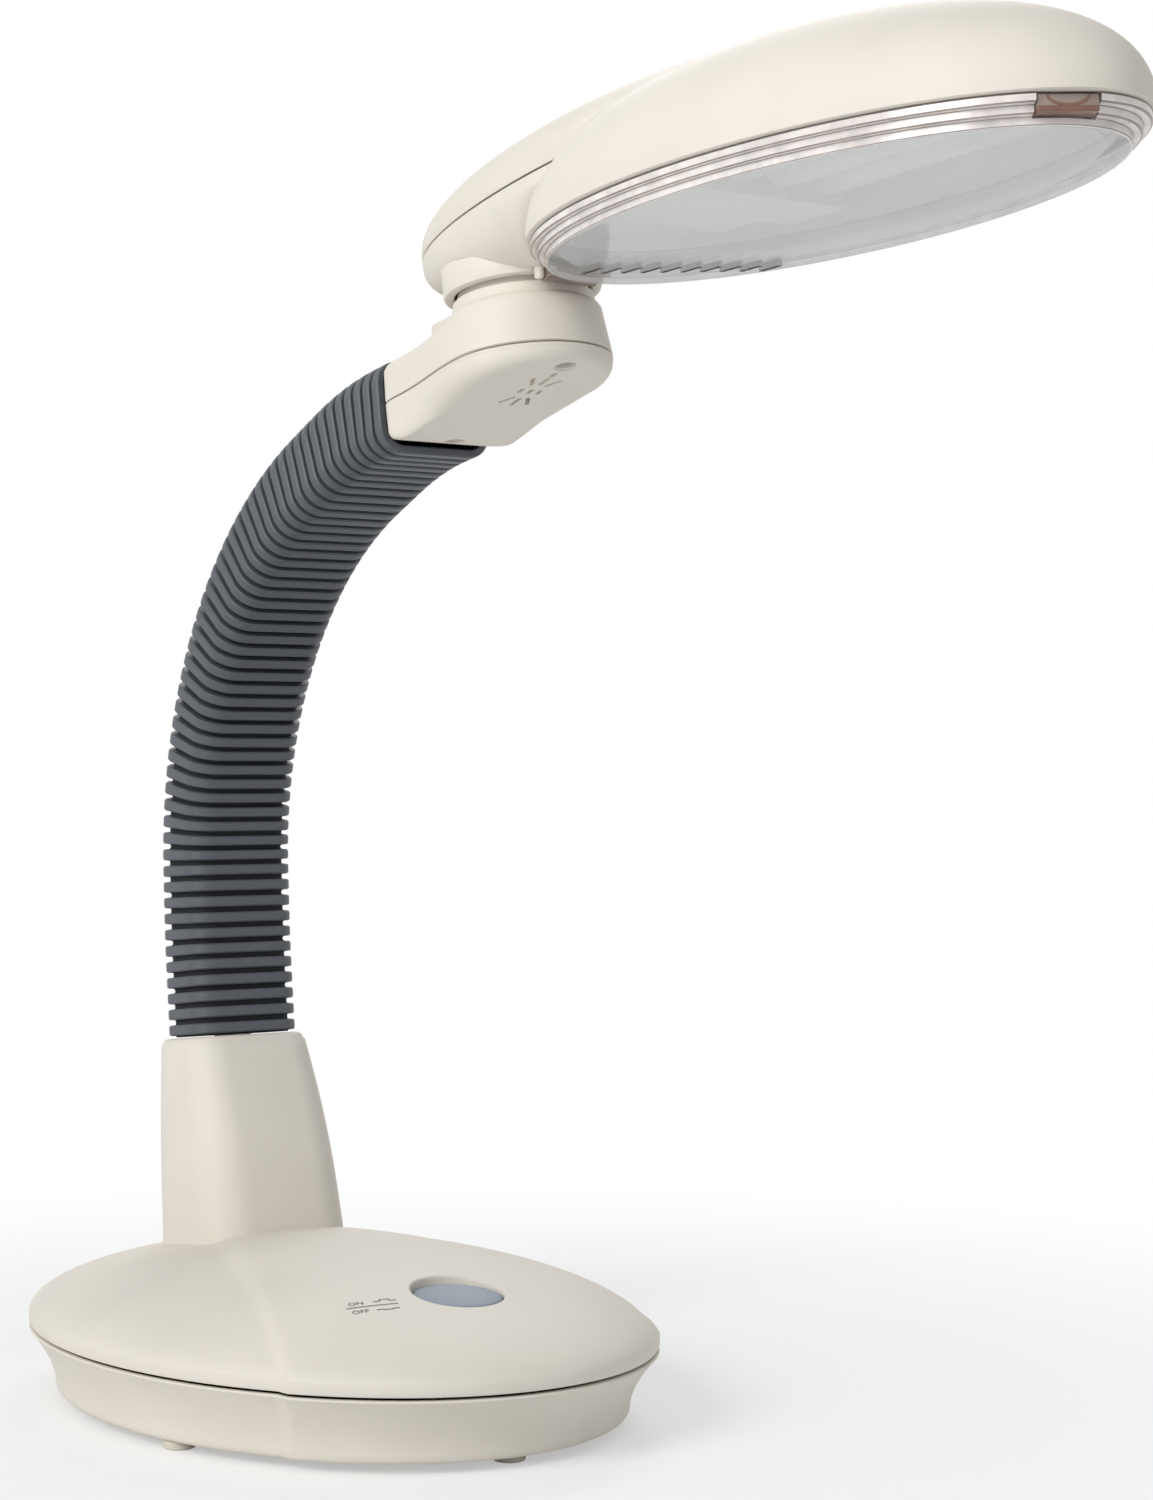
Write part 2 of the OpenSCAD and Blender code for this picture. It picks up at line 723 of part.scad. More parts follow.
// Side profile extruded across the knuckle, in the plane of the neck
module knuckle_side() {
  rotate([90, 0, 90]) linear_extrude(2 * drum_r + 2, center = true) children();
}
// Upper outline of the arm with its hollow sweep up to the drum
function arm_profile(inset) = concat(
  [[-drum_r, 0], [-drum_r, drum_h - inset], [drum_top_r - 2, drum_h - inset]],
  [for (t = [0:15:90]) [drum_top_r + sweep_r * (1 - cos(t)), drum_h - inset + (arm_top - drum_h) * sin(t)]],
  [[arm_len - arm_slope, arm_top - inset], [arm_len, arm_top - arm_slope / 2 - inset], [arm_len, 0]]
);
module knuckle_screw_places() {
  for (y = [knuckle_screw_front, knuckle_screw_back]) translate([0, y, 0]) children();
}
module knuckle_housing() {
  deck = drum_h - deck_h;
  color(ivory) at_knuckle() difference() {
    union() {
      intersection() {
        union() {
          cylinder(h = drum_h, r1 = drum_r, r2 = drum_top_r);
          intersection() {
            linear_extrude(drum_h) knuckle_plan(0);
            translate([-drum_r, drum_top_r - 4, 0]) cube([2 * drum_r, arm_len, drum_h]);
          }
        }
        knuckle_side() polygon(arm_profile(0));
      }
      translate([0, 0, drum_h - eps]) cylinder(h = collar_step_h - drum_h, r = collar_step_r);
      translate([0, 0, drum_h - eps]) cylinder(h = collar_h - drum_h, r = collar_r);
      translate([-stop_w / 2, stop_front, arm_top / 2])
        cube([stop_w, stop_len, drum_h + stop_h - arm_top / 2]);
    }
    difference() {
      intersection() {
        translate([0, 0, -1]) linear_extrude(deck + 1) knuckle_plan(knuckle_wall + 1);
        translate([-drum_r, -drum_r, -1]) cube([2 * drum_r, drum_r + arm_len - end_wall, deck + 1]);
        knuckle_side() polygon(concat(arm_profile(deck_h), [[arm_len, -1], [-drum_r, -1]]));
      }
      translate([0, knuckle_screw_front, -1]) cylinder(h = screw_reach + 1, r = boss_r);
    }
    translate([0, 0, -1]) cylinder(h = collar_h + 2, r = shaft_hole_r);
    neck_way();
    translate([0, knuckle_screw_front, -1]) cylinder(h = screw_reach + 2, r = screw_hole_r);
  }
}
// Round way for the neck's clamp through the knuckle's end
module neck_way() {
  translate([0, arm_len + 1, 0]) rotate([90, 0, 0]) cylinder(h = core_tail + 2, r = clamp_r + core_clear);
}
module knuckle_cover_block(inset) {
  low = -cover_front_h + inset;
  deep = -cover_back_h + inset;
  intersection() {
    translate([0, 0, deep]) linear_extrude(-deep) knuckle_plan(inset);
    knuckle_side()
      polygon([[-drum_r, 1], [-drum_r, low], [arm_len - belly_back, deep], [arm_len, deep + belly_rise],
        [arm_len, 1]]);
  }
}
module knuckle_cover() {
  color(ivory) at_knuckle() translate([0, 0, -part_gap]) difference() {
    knuckle_cover_block(0);
    difference() {
      translate([0, 0, eps]) knuckle_cover_block(knuckle_wall);
      translate([-drum_r, arm_len - end_wall, -cover_back_h]) cube([2 * drum_r, end_wall, cover_back_h + 1]);
      knuckle_screw_places() translate([0, 0, -cover_back_h]) cylinder(h = cover_back_h + 1, r = boss_r);
    }
    translate([0, 0, part_gap]) neck_way();
    for (hole = [[knuckle_screw_front, screw_seat], [knuckle_screw_back, clamp_seat]])
      translate([0, hole[0], -cover_back_h - 1]) {
        cylinder(h = cover_back_h + 2, r = screw_hole_r);
        cylinder(h = cover_back_h + 1 - hole[1], r = screw_head_r + part_gap);
      }
    for (a = [0:360 / vent_slots:359]) translate([0, vent_y, -cover_back_h]) rotate([0, 0, a])
      translate([vent_r / 2, -vent_slot_w / 2, 0])
        cube([vent_r / 2, vent_slot_w, cover_back_h - knuckle_wall]);
  }
}
module knuckle_screws() {
  color(steel) at_knuckle() {
    translate([0, knuckle_screw_front, -screw_seat - part_gap])
      screw(screw_seat + part_gap + screw_reach - 1);
    translate([0, knuckle_screw_back, -clamp_seat - part_gap])
      screw(clamp_seat + part_gap - core_hole_r - screw_tip_gap);
  }
}
module friction_washer() {
  color("#d8d4c0") at_knuckle() translate([0, 0, drum_h - deck_h - washer_h])
    tube(washer_h, shaft_r + washer_w, shaft_r + part_gap);
}
module swivel_shaft() {
  low = drum_h - deck_h - washer_h - ring_gap - ring_h - 1;
  color(steel) at_knuckle() difference() {
    union() {
      translate([0, 0, low]) cylinder(h = collar_h + shaft_rise - low, r = shaft_r);
      translate([0, 0, collar_h + part_gap]) cylinder(h = shaft_flange_h, r = shaft_r + shaft_flange_w);
    }
    translate([0, 0, low - 1]) cylinder(h = 4 * collar_h, r = shaft_r - shaft_wall);
  }
}
module swivel_ring() {
  color(cast_colour) at_knuckle() translate([0, 0, drum_h - deck_h - washer_h - ring_gap - ring_h])
    tube(ring_h, shaft_r + ring_w, shaft_r);
}

module head_oval(half_w, crown) {
  oval(1, head_ratio) polygon(concat([[0, 0]], quarter(half_w, crown, dome_power)));
}
// Placement in the middle of the tail's seam plane
module at_tail() {
  translate([0, tail_middle, tail_seam_h]) rotate([-tail_tilt, 0, 0]) children();
}
// Tail body: round blade that runs back over the knuckle
module tail_blade(inset) {
  upper = quarter(tail_len - inset, tail_half_h - inset, tail_power);
  at_tail() oval((tail_half_w - inset) / (tail_len - inset), 1)
    polygon(concat(reversed([for (p = upper) [p.x, -p.y]]), upper));
}
module above_seam() {
  at_tail() translate([-head_room, -head_room, 0]) cube([2 * head_room, 2 * head_room, head_room]);
}
module tail_screw_places() {
  at_tail() for (x = [-1, 1]) translate([x * tail_screw_x, tail_screw_y - tail_middle, 0]) children();
}
// Space for the hinge's barrel and lugs behind the diffuser
module hinge_space() {
  half_w = hinge_half_w + hinge_lug_w + 2 * part_gap;
  translate([-half_w, 0, -head_room])
    cube([2 * half_w, hinge_y + hinge_barrel_r + part_gap, head_room + hinge_ceiling]);
}
module head_shell() {
  color(ivory) at_head() difference() {
    union() {
      difference() {
        union() {
          head_oval(head_half_w, crown_h);
          intersection() {
            tail_blade(0);
            above_seam();
          }
        }
        translate([0, 0, -eps]) head_oval(head_half_w - head_wall, crown_h - head_wall);
        intersection() {
          tail_blade(head_wall);
          translate([0, 0, -1]) above_seam();
        }
      }
      intersection() {
        tail_blade(head_wall / 2);
        tail_screw_places() cylinder(h = tail_half_h, r = tail_boss_r);
      }
    }
    tail_screw_places() translate([0, 0, -1]) cylinder(h = tail_screw_reach + 2, r = screw_hole_r);
  }
}
module tail_cover() {
  seat = collar_h + part_gap + shaft_flange_h;
  color(ivory) difference() {
    union() {
      at_head() difference() {
        tail_blade(0);
        tail_blade(head_wall);
      }
      at_head() intersection() {
        tail_blade(head_wall / 2);
        tail_screw_places() translate([0, 0, -tail_half_h]) cylinder(h = tail_half_h, r = tail_boss_r);
      }
      at_knuckle() intersection() {
        translate([0, 0, collar_h - skirt_lap]) tube(2 * collar_h, skirt_r, collar_r + skirt_clear);
        skirt_limit();
      }
      at_knuckle() intersection() {
        translate([0, 0, seat]) cylinder(h = 2 * collar_h, r = skirt_r - 1);
        skirt_limit();
      }
    }
    at_head() {
      translate([0, 0, -part_gap]) above_seam();
      translate([0, 0, -eps]) head_oval(head_half_w + part_gap, crown_h + part_gap);
      translate([0, 0, -head_room]) oval(1, head_ratio) square([head_half_w + part_gap, head_room]);
      hinge_space();
      tail_screw_places() translate([0, 0, -tail_half_h]) {
        cylinder(h = 2 * tail_half_h, r = screw_hole_r);
        cylinder(h = tail_half_h - tail_screw_depth, r = screw_head_r + part_gap);
      }
    }
    at_knuckle() cylinder(h = 4 * collar_h, r = shaft_hole_r);
    at_knuckle() cylinder(h = seat, r = collar_r + skirt_clear);
  }
}
// Space under the skirt's shoulder
module skirt_limit() {
  translate([0, 0, collar_h]) rotate([knuckle_tilt - head_tilt, 0, 0])
    translate([-head_room, -head_room, -head_room])
      cube([2 * head_room, 2 * head_room, head_room + lip_rise + skirt_top]);
}
module head_screws() {
  color(steel) at_head() tail_screw_places() translate([0, 0, -tail_screw_depth])
    screw(tail_screw_depth + tail_screw_reach);
}
module reflector() {
  color("#e8eaec") at_head() difference() {
    head_oval(liner_half_w + liner_t, liner_crown + liner_t);
    translate([0, 0, -eps]) head_oval(liner_half_w, liner_crown);
    translate([-head_room, -head_room, -1]) cube([2 * head_room, 2 * head_room, 1 + liner_bottom]);
  }
}
module lamp_socket() {
  low = tube_z - cap_h / 2;
  top = liner_z(socket_stem_w / 2, socket_y + socket_stem_len) - seat_gap;
  color("#f1efe9") at_head() difference() {
    union() {
      translate([-socket_w / 2, socket_y, low]) cube([socket_w, socket_len, cap_h]);
      translate([-socket_stem_w / 2, socket_y, low]) cube([socket_stem_w, socket_stem_len, top - low]);
    }
    lamp_pins(pin_r + pin_clear, pin_len + lamp_travel);
  }
}
module lamp_pins(r, long) {
  for (i = [0:3]) translate([(i - 1.5) * pin_pitch, cap_back - eps, tube_z])
    rotate([-90, 0, 0]) cylinder(h = long, r = r);
}
module lamp_cap() {
  color("#f4f3ef") at_head() {
    translate([-cap_w / 2, cap_back - cap_len, tube_z - cap_h / 2]) cube([cap_w, cap_len, cap_h]);
    lamp_pins(pin_r, pin_len);
  }
}
module lamp_tubes() {
  back = cap_back - cap_len;
  near = back - tube_d;
  far = back - tube_len + tube_d;
  first = -(tube_count - 1) / 2 * tube_pitch;
  color("#fbfbf8") at_head() {
    for (i = [0:tube_count - 1]) translate([first + i * tube_pitch, back, tube_z]) {
      rotate([90, 0, 0]) cylinder(h = tube_len - tube_d / 2, d = tube_d);
      translate([0, -tube_len + tube_d / 2, 0]) sphere(d = tube_d);
    }
    for (i = [0:tube_count - 2]) translate([first + i * tube_pitch, i % 2 == 0 ? far : near, tube_z])
      rotate([0, 90, 0]) cylinder(h = tube_pitch, d = tube_d / 2);
  }
}
module tube_clip() {
  wide = tube_pitch * (tube_count - 1) + tube_d;
  low = tube_z + tube_d / 2 + part_gap;
  top = liner_z(tube_pitch + clip_t / 2, clip_y) - seat_gap;
  color(steel) at_head() {
    translate([-wide / 2, clip_y, low]) cube([wide, clip_len, clip_t]);
    for (x = [-1, 1]) translate([x * tube_pitch - clip_t / 2, clip_y, low])
      cube([clip_t, clip_len, top - low]);
  }
}

// Profile of the diffuser: a spigot, two steps and a flat floor
module lens_profile() {
  s = lens_step;
  h = (lens_h - part_gap) / 3;
  w = lens_wall;
  r = [for (i = [0:2]) lens_rim_half_w - i * s];
  z = [for (i = [0:3]) -part_gap - i * h];
  inner = [for (i = [0:2]) lens_half_w - w - i * s];
  polygon([
    [0, z[3]], [r[2], z[3]], [r[2], z[2]], [r[1], z[2]], [r[1], z[1]], [r[0], z[1]], [r[0], z[0]],
    [lens_half_w, z[0]], [lens_half_w, spigot_h], [inner[0], spigot_h], [inner[0], z[1] + w],
    [inner[1], z[1] + w], [inner[1], z[2] + w], [inner[2], z[2] + w], [inner[2], z[3] + w], [0, z[3] + w]
  ]);
}
module diffuser() {
  notch_w = latch_w + 2 * latch_clear;
  color(clear_tint) at_head() difference() {
    union() {
      oval(1, lens_ratio) lens_profile();
      translate([-hinge_half_w, hinge_y, hinge_z]) rotate([0, 90, 0])
        cylinder(h = 2 * hinge_half_w, r = hinge_barrel_r);
      translate([-hinge_half_w, hinge_y - hinge_bridge, hinge_z - hinge_bridge_t / 2])
        cube([2 * hinge_half_w, hinge_bridge, hinge_bridge_t]);
    }
    translate([-2 * hinge_half_w, hinge_y, hinge_z]) rotate([0, 90, 0])
      cylinder(h = 4 * hinge_half_w, d = hinge_pin_d + 2 * shaft_clear);
    at_latch() translate([-notch_w / 2, latch_front - notch_out, -lens_h + lens_wall])
      cube([notch_w, notch_out + latch_len + latch_clear, lens_h + spigot_h]);
    for (i = [0:louvre_count - 1])
      translate([louvre_x, louvre_y, -lens_h - 1]) rotate([0, 0, louvre_turn])
        translate([i * louvre_pitch, 0, 0]) rotate([0, 0, -louvre_turn])
          cube([louvre_w, louvre_len, lens_wall + 2]);
  }
}
module lens_hinge() {
  lug_side = hinge_half_w + part_gap;
  lug_top = max(tail_under(lug_side + hinge_lug_w, hinge_y), hinge_ceiling) - part_gap;
  color(ivory) at_head() translate([0, hinge_y, 0]) {
    translate([0, 0, hinge_z]) rotate([0, 90, 0])
      cylinder(h = 2 * (lug_side + hinge_lug_w), d = hinge_pin_d, center = true);
    for (x = [-lug_side - hinge_lug_w, lug_side]) {
      translate([x, 0, hinge_z]) rotate([0, 90, 0]) cylinder(h = hinge_lug_w, r = hinge_barrel_r);
      translate([x, -hinge_lug_t / 2, hinge_z]) cube([hinge_lug_w, hinge_lug_t, lug_top - hinge_z]);
    }
  }
}
// Placement at the latch: origin on the rim of the diffuser, +Y inwards
module at_latch() {
  translate([latch_x, latch_y, 0]) rotate([0, 0, latch_turn]) children();
}
module lens_latch() {
  low = -lens_h + lens_wall + latch_gap;
  color([0.55, 0.5, 0.47, 0.7]) at_head() at_latch() translate([-latch_w / 2, 0, low]) {
    translate([0, latch_plate_y, 0]) cube([latch_w, latch_t, latch_hook - low]);
    translate([0, latch_front, 0]) cube([latch_w, latch_len, latch_ledge_h]);
  }
}

base_tray();
base_cover();
rubber_feet();
base_screws();
base_weight();
ballast_board();
board_posts();
ballast_choke();
ballast_capacitors();
switch_body();
push_button();
cord_inlet();
column();
column_screws();
neck_anchor();
neck_core();
neck_clamp();
knuckle_housing();
knuckle_cover();
knuckle_screws();
friction_washer();
swivel_shaft();
swivel_ring();
head_shell();
tail_cover();
head_screws();
reflector();
lamp_socket();
tube_clip();
lamp_cap();
lamp_tubes();
diffuser();
lens_hinge();
lens_latch();
for (i = [0:neck_segments - 1]) neck_sleeve(i);
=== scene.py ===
"""Looks of a gooseneck desk lamp: ivory casings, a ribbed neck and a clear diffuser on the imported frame."""

import json
import math
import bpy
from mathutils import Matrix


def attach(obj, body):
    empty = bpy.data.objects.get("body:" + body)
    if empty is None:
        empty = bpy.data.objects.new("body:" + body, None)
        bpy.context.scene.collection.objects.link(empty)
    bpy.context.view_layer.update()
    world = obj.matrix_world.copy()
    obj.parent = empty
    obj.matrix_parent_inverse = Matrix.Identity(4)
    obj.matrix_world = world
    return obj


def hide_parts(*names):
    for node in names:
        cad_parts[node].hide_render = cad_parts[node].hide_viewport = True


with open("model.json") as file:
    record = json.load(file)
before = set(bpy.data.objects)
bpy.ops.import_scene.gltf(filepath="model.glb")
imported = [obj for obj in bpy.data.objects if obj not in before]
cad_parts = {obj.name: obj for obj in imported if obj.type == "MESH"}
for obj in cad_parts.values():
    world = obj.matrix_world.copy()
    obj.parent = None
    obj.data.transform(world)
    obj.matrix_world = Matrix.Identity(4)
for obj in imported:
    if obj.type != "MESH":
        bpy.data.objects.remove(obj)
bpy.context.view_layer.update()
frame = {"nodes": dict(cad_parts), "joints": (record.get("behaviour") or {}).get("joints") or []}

from types import SimpleNamespace

import bmesh
import bpy
from bpy.props import FloatProperty, FloatVectorProperty, IntProperty, PointerProperty
from mathutils import Matrix, Vector

bl_info = {
    "name": "Gooseneck Desk Lamp",
    "version": (1, 0, 0),
    "blender": (4, 5, 0),
    "location": "3D View > Sidebar > Lamp",
    "description": "Builds the visible pieces of a gooseneck desk lamp on its packed frame",
    "category": "Object",
}

MM = 0.001
JOINTS = {joint["name"]: joint for joint in frame["joints"]}
# The neck's bodies from the base to the knuckle, and the joints between them
NECK_BODIES = ["base"] + [f"neck_{i:02d}" for i in range(2, 17)] + ["knuckle"]
NECK_JOINTS = [Vector(j["pos_m"]) / MM for body in NECK_BODIES[1:] for j in frame["joints"] if j["child"] == body]
# Points round the larger forms
BASE_TURNS = 432
KNUCKLE_TURNS = 240
HEAD_TURNS = 288
TAIL_TURNS = 320
SKIRT_TURNS = 120
LENS_TURNS = 240
# Roundness of the head's dome and of its tail, 2 for an ellipse
DOME_POWER = 2.3
TAIL_POWER = 2.6
# Edges over this angle, in degrees, are shaded sharp unless a piece has its own
SHARP = 35


def linear(hex_colour):
    """Linear colour of an sRGB hex value."""
    parts = [int(hex_colour[i:i + 2], 16) / 255 for i in (1, 3, 5)]
    return tuple(c / 12.92 if c <= 0.04045 else ((c + 0.055) / 1.055) ** 2.4 for c in parts)


def length(name, mm, text):
    """A size in the file's unit, from millimetres."""
    return FloatProperty(name=name, description=text, default=mm * MM, min=0.0, precision=4, unit="LENGTH")


def angle(name, degrees, text):
    return FloatProperty(name=name, description=text, default=math.radians(degrees), subtype="ANGLE")


def shade(name, hex_colour, text):
    return FloatVectorProperty(name=name, description=text, default=linear(hex_colour), size=3,
                               min=0.0, max=1.0, subtype="COLOR")


class LampBaseSizes(bpy.types.PropertyGroup):
    half_width: length("Half width", 101, "Half width of the base at its seam")
    half_length: length("Half length", 135.97, "Half length of the base at its seam")
    seam: length("Seam height", 27, "Height of the seam above the desk")
    seam_gap: length("Seam gap", 0.9, "Dark gap shown at the seam")
    dome: length("Dome height", 30, "Height of the crown above the seam")
    rim: length("Rim height", 4, "Height of the cover's upright rim")
    shape: FloatProperty(name="Dome shape", description="Roundness of the dome, 2 for an ellipse",
                         default=1.7, min=1.5, max=2.0)
    taper: length("Tray taper", 9, "How far the tray narrows to its bottom")
    bottom: length("Tray bottom", 3.5, "Height of the tray's bottom")
    lobe_step: length("Lobe step", 2.4, "How far the front lobe steps out")
    lobe_lift: length("Lobe lift", 1.8, "How far the front lobe stands above the dome")
    lobe_root: length("Lobe root", 28, "Half width of the lobe where it leaves the column")
    lobe_start: length("Lobe start", 32, "Distance of the lobe's root behind the middle")
    lobe_spread: angle("Lobe spread", 20, "Angle at which the lobe's edges spread")
    button_radius: length("Button radius", 15.5, "Radius of the push button")
    button_front: length("Button distance", 80, "Distance of the button in front of the middle")
    button_lean: angle("Button lean", 5, "Forward lean of the button's axis")
    button_top: length("Button top", 25.0, "Height of the button's crown above the seam, along its axis")
    foot_radius: length("Foot radius", 5.5, "Radius of a rubber foot")
    screw_aside: length("Screw offset", 62, "Distance of the tray's screws from the middle, across")
    screw_along: length("Screw distance", 78, "Distance of the tray's screws from the middle, along")
    foot_count: IntProperty(name="Feet", description="Number of feet", default=5, min=3, max=8)


class LampColumnSizes(bpy.types.PropertyGroup):
    foot_width: length("Foot width", 60, "Width of the column's foot")
    foot_depth: length("Foot depth", 56, "Depth of the column's foot")
    foot_corner: length("Foot corner", 17, "Corner radius of the column's foot")
    foot_back: length("Foot distance", 60, "Distance of the foot behind the middle")
    foot_z: length("Foot height", 41, "Height at which the column starts inside the cover")
    taper_z: length("Taper height", 56, "Height at which the column starts to taper")
    top_width: length("Top width", 50, "Width of the column's top")
    top_depth: length("Top depth", 38, "Depth of the column's top")
    top_corner: length("Top corner", 12, "Corner radius of the column's top")
    top_back: length("Top distance", 76, "Distance of the top behind the middle")
    top_z: length("Top height", 126, "Height of the column's top")
    lean: angle("Lean", 6, "Backward lean of the column's top")
    edge: length("Edge radius", 3.0, "Rounding of the column's top edge")


class LampNeckSizes(bpy.types.PropertyGroup):
    width: length("Width", 44, "Width of a rib")
    depth: length("Depth", 32, "Depth of a rib in the plane of the bend")
    corner: length("Corner", 9, "Corner radius of a rib")
    groove: length("Groove depth", 2.6, "Depth of the grooves between ribs")
    rib: length("Rib", 4.1, "Length of a rib along the neck")
    chamfer: length("Chamfer", 0.5, "Chamfer of a rib's edges")
    core: length("Core radius", 7, "Radius of the steel core inside the sleeve")
    ribs: IntProperty(name="Ribs", description="Ribs on one neck segment", default=3, min=2, max=4)


class LampKnuckleSizes(bpy.types.PropertyGroup):
    drum: length("Drum radius", 27.5, "Radius of the drum at the seam")
    drum_top: length("Drum top radius", 25, "Radius of the drum at its top")
    drum_height: length("Drum height", 17.5, "Height of the drum above the seam")
    arm_width: length("Arm width", 45, "Width of the arm at the neck")
    arm_length: length("Arm length", 58, "Distance from the swivel axis to the neck")
    arm_top: length("Arm height", 12.5, "Height of the arm above the seam")
    collar: length("Collar radius", 21.5, "Radius of the collar")
    collar_step: length("Collar step radius", 23.25, "Radius of the step under the collar")
    collar_height: length("Collar height", 25, "Height of the collar's top above the seam")
    step_height: length("Step height", 21.2, "Height of the step under the collar")
    front_depth: length("Front depth", 5.5, "Depth of the lower cover at its front")
    back_depth: length("Back depth", 14.5, "Depth of the lower cover at the neck")
    belly: length("Belly radius", 8.0, "Rounding of the lower cover's bottom edge")
    screw_front: length("Front screw", 20.1, "Distance of the front screw from the swivel axis")
    screw_back: length("Back screw", 48, "Distance of the back screw from the swivel axis")
    vent: length("Vent distance", 1, "Distance of the vent from the swivel axis")


class LampHeadSizes(bpy.types.PropertyGroup):
    half_width: length("Half width", 56, "Half width of the oval at its lip")
    half_length: length("Half length", 123, "Half length of the oval at its lip")
    crown: length("Crown", 41, "Height of the crown above the lip")
    wall: length("Wall", 2.4, "Wall shown at the lip")
    tilt: angle("Tilt", 2.25, "Front-up tilt of the lip")
    ahead: length("Reach", 150, "Distance from the swivel axis to the oval's middle")
    rise: length("Rise", 3.5, "Height of the lip above the collar at the swivel axis")
    tail_middle: length("Tail middle", 95, "Middle of the tail behind the oval's middle")
    tail_length: length("Tail half length", 105, "Half length of the tail's oval")
    tail_width: length("Tail half width", 32, "Half width of the tail's oval")
    tail_height: length("Tail half height", 21, "Half thickness of the tail")
    tail_seam: length("Tail seam", 21, "Height of the tail's seam above the lip, at its middle")
    tail_tilt: angle("Tail tilt", 5.7, "Fall of the tail towards its back")
    skirt: length("Skirt radius", 26, "Outer radius of the skirt round the collar")
    skirt_lap: length("Skirt lap", 2, "How far the skirt hangs over the collar")
    skirt_top: length("Skirt top", 4, "Height of the skirt's shoulder above the lip")
    fillet: length("Fillet", 9, "Reach of the soft valley between tail and oval")


class LampLensSizes(bpy.types.PropertyGroup):
    half_width: length("Half width", 54.4, "Half width of the diffuser's rim")
    half_length: length("Half length", 121.4, "Half length of the diffuser's rim")
    spigot: length("Spigot", 52.3, "Half width of the spigot inside the shell")
    depth: length("Depth", 7.5, "Depth of the diffuser below the lip")
    step: length("Step", 1.5, "Width of each step of the rim")
    wall: length("Wall", 1.8, "Wall of the diffuser")
    louvre_length: length("Slot length", 10, "Length of a louvre slot")
    louvre_width: length("Slot width", 1.6, "Width of a louvre slot")
    louvre_pitch: length("Slot pitch", 6.2, "Pitch of the louvre slots along their row")
    louvre_turn: angle("Slot row", -33, "Direction of the row of slots")
    louvres: IntProperty(name="Slots", description="Number of louvre slots", default=10, min=4, max=12)
    hinge_y: length("Hinge distance", 123.4, "Distance of the hinge behind the middle")
    hinge_drop: length("Hinge drop", 4.0, "Depth of the hinge below the lip")
    barrel: length("Barrel radius", 2.2, "Radius of the hinge barrel")
    latch_width: length("Latch width", 16, "Width of the latch tab")
    latch_aside: length("Latch offset", 14, "Distance of the latch from the middle")
    tube: length("Tube diameter", 13, "Diameter of a lamp tube")
    tube_pitch: length("Tube pitch", 17, "Pitch of the lamp tubes")
    tube_length: length("Tube length", 104, "Length of the lamp tubes")
    tube_height: length("Tube height", 12, "Height of the tubes above the lip")
    tube_back: length("Tube back", 26, "Where the tubes leave their cap, behind the middle")


class LampColours(bpy.types.PropertyGroup):
    casing: shade("Casing", "#D9D3C8", "Ivory of the mouldings")
    neck: shade("Neck", "#4A4E54", "Slate grey of the ribbed neck")
    # Painted shade: the bottoms of the grooves are coloured near black for the shade that falls deep in them
    groove: shade("Groove", "#1E1F21", "Shaded bottom of the grooves")
    button: shade("Button", "#858E99", "Blue grey of the push button")
    foot: shade("Feet", "#CFC9BC", "Pale rubber of the feet")
    lens: shade("Diffuser", "#F1F3F4", "Clear plastic of the diffuser")
    lens_edge: shade("Diffuser edge", "#97877E", "Tone of the clear plastic seen along its edges")
    latch: shade("Latch", "#A08F85", "Smoke tint of the latch tab")
    latch_edge: shade("Latch edge", "#7D5748", "Red brown of the latch's thick edges")
    tube: shade("Tubes", "#F4F5F2", "White coat of the lamp tubes")
    print_ink: shade("Print", "#4A4D52", "Ink of the switch marks")
    floor: shade("Floor", "#F4F4F4", "Pale floor")


def sizes(group):
    """Values of a property group, its lengths in millimetres."""
    found = {}
    for name in group.__annotations__:
        rna = group.bl_rna.properties[name]
        found[name] = getattr(group, name) / MM if rna.unit == "LENGTH" else getattr(group, name)
    return SimpleNamespace(**found)


def ease(a, b, x):
    """Smooth step from 0 at a to 1 at b."""
    t = min(max((x - a) / (b - a), 0.0), 1.0)
    return t * t * (3 - 2 * t)


def mix(a, b, t):
    return a + (b - a) * t


def turns(count):
    """Angles of equal steps round a full turn."""
    return [2 * math.pi * i / count for i in range(count)]


def steps(count):
    """Shares of equal steps along a way, from the first step to the end."""
    return [i / count for i in range(1, count + 1)]


def quarter(count):
    """Steps of a quarter round of radius 1, as pairs of inset and rise."""
    angles = [math.radians(90 * i / count) for i in range(1, count + 1)]
    return [(1 - math.cos(a), math.sin(a)) for a in angles]


def polar(r, a, z):
    """Point at a radius, a turn and a height."""
    return Vector((r * math.cos(a), r * math.sin(a), z))


def loft(rings, close_first=False, close_last=False):
    """Skin over closed rings of the same count."""
    n = len(rings[0])
    verts = [p for ring in rings for p in ring]
    faces = [(r * n + k, r * n + (k + 1) % n, (r + 1) * n + (k + 1) % n, (r + 1) * n + k)
             for r in range(len(rings) - 1) for k in range(n)]
    if close_first:
        faces.append(tuple(reversed(range(n))))
    if close_last:
        faces.append(tuple(range((len(rings) - 1) * n, len(rings) * n)))
    return verts, faces


def rounded_rect(width, depth, corner, rows=8):
    """Outline of a rectangle with round corners, anticlockwise."""
    points = []
    for sx, sy, start in ((1, 1, 0), (-1, 1, 90), (-1, -1, 180), (1, -1, 270)):
        for i in range(rows + 1):
            a = math.radians(start + 90 * i / rows)
            points.append((sx * (width / 2 - corner) + corner * math.cos(a),
                           sy * (depth / 2 - corner) + corner * math.sin(a)))
    return points


def oval_ring(half_width, half_length, z, count):
    """Level oval ring that starts at the front."""
    return [(half_width * math.sin(a), -half_length * math.cos(a), z) for a in turns(count)]


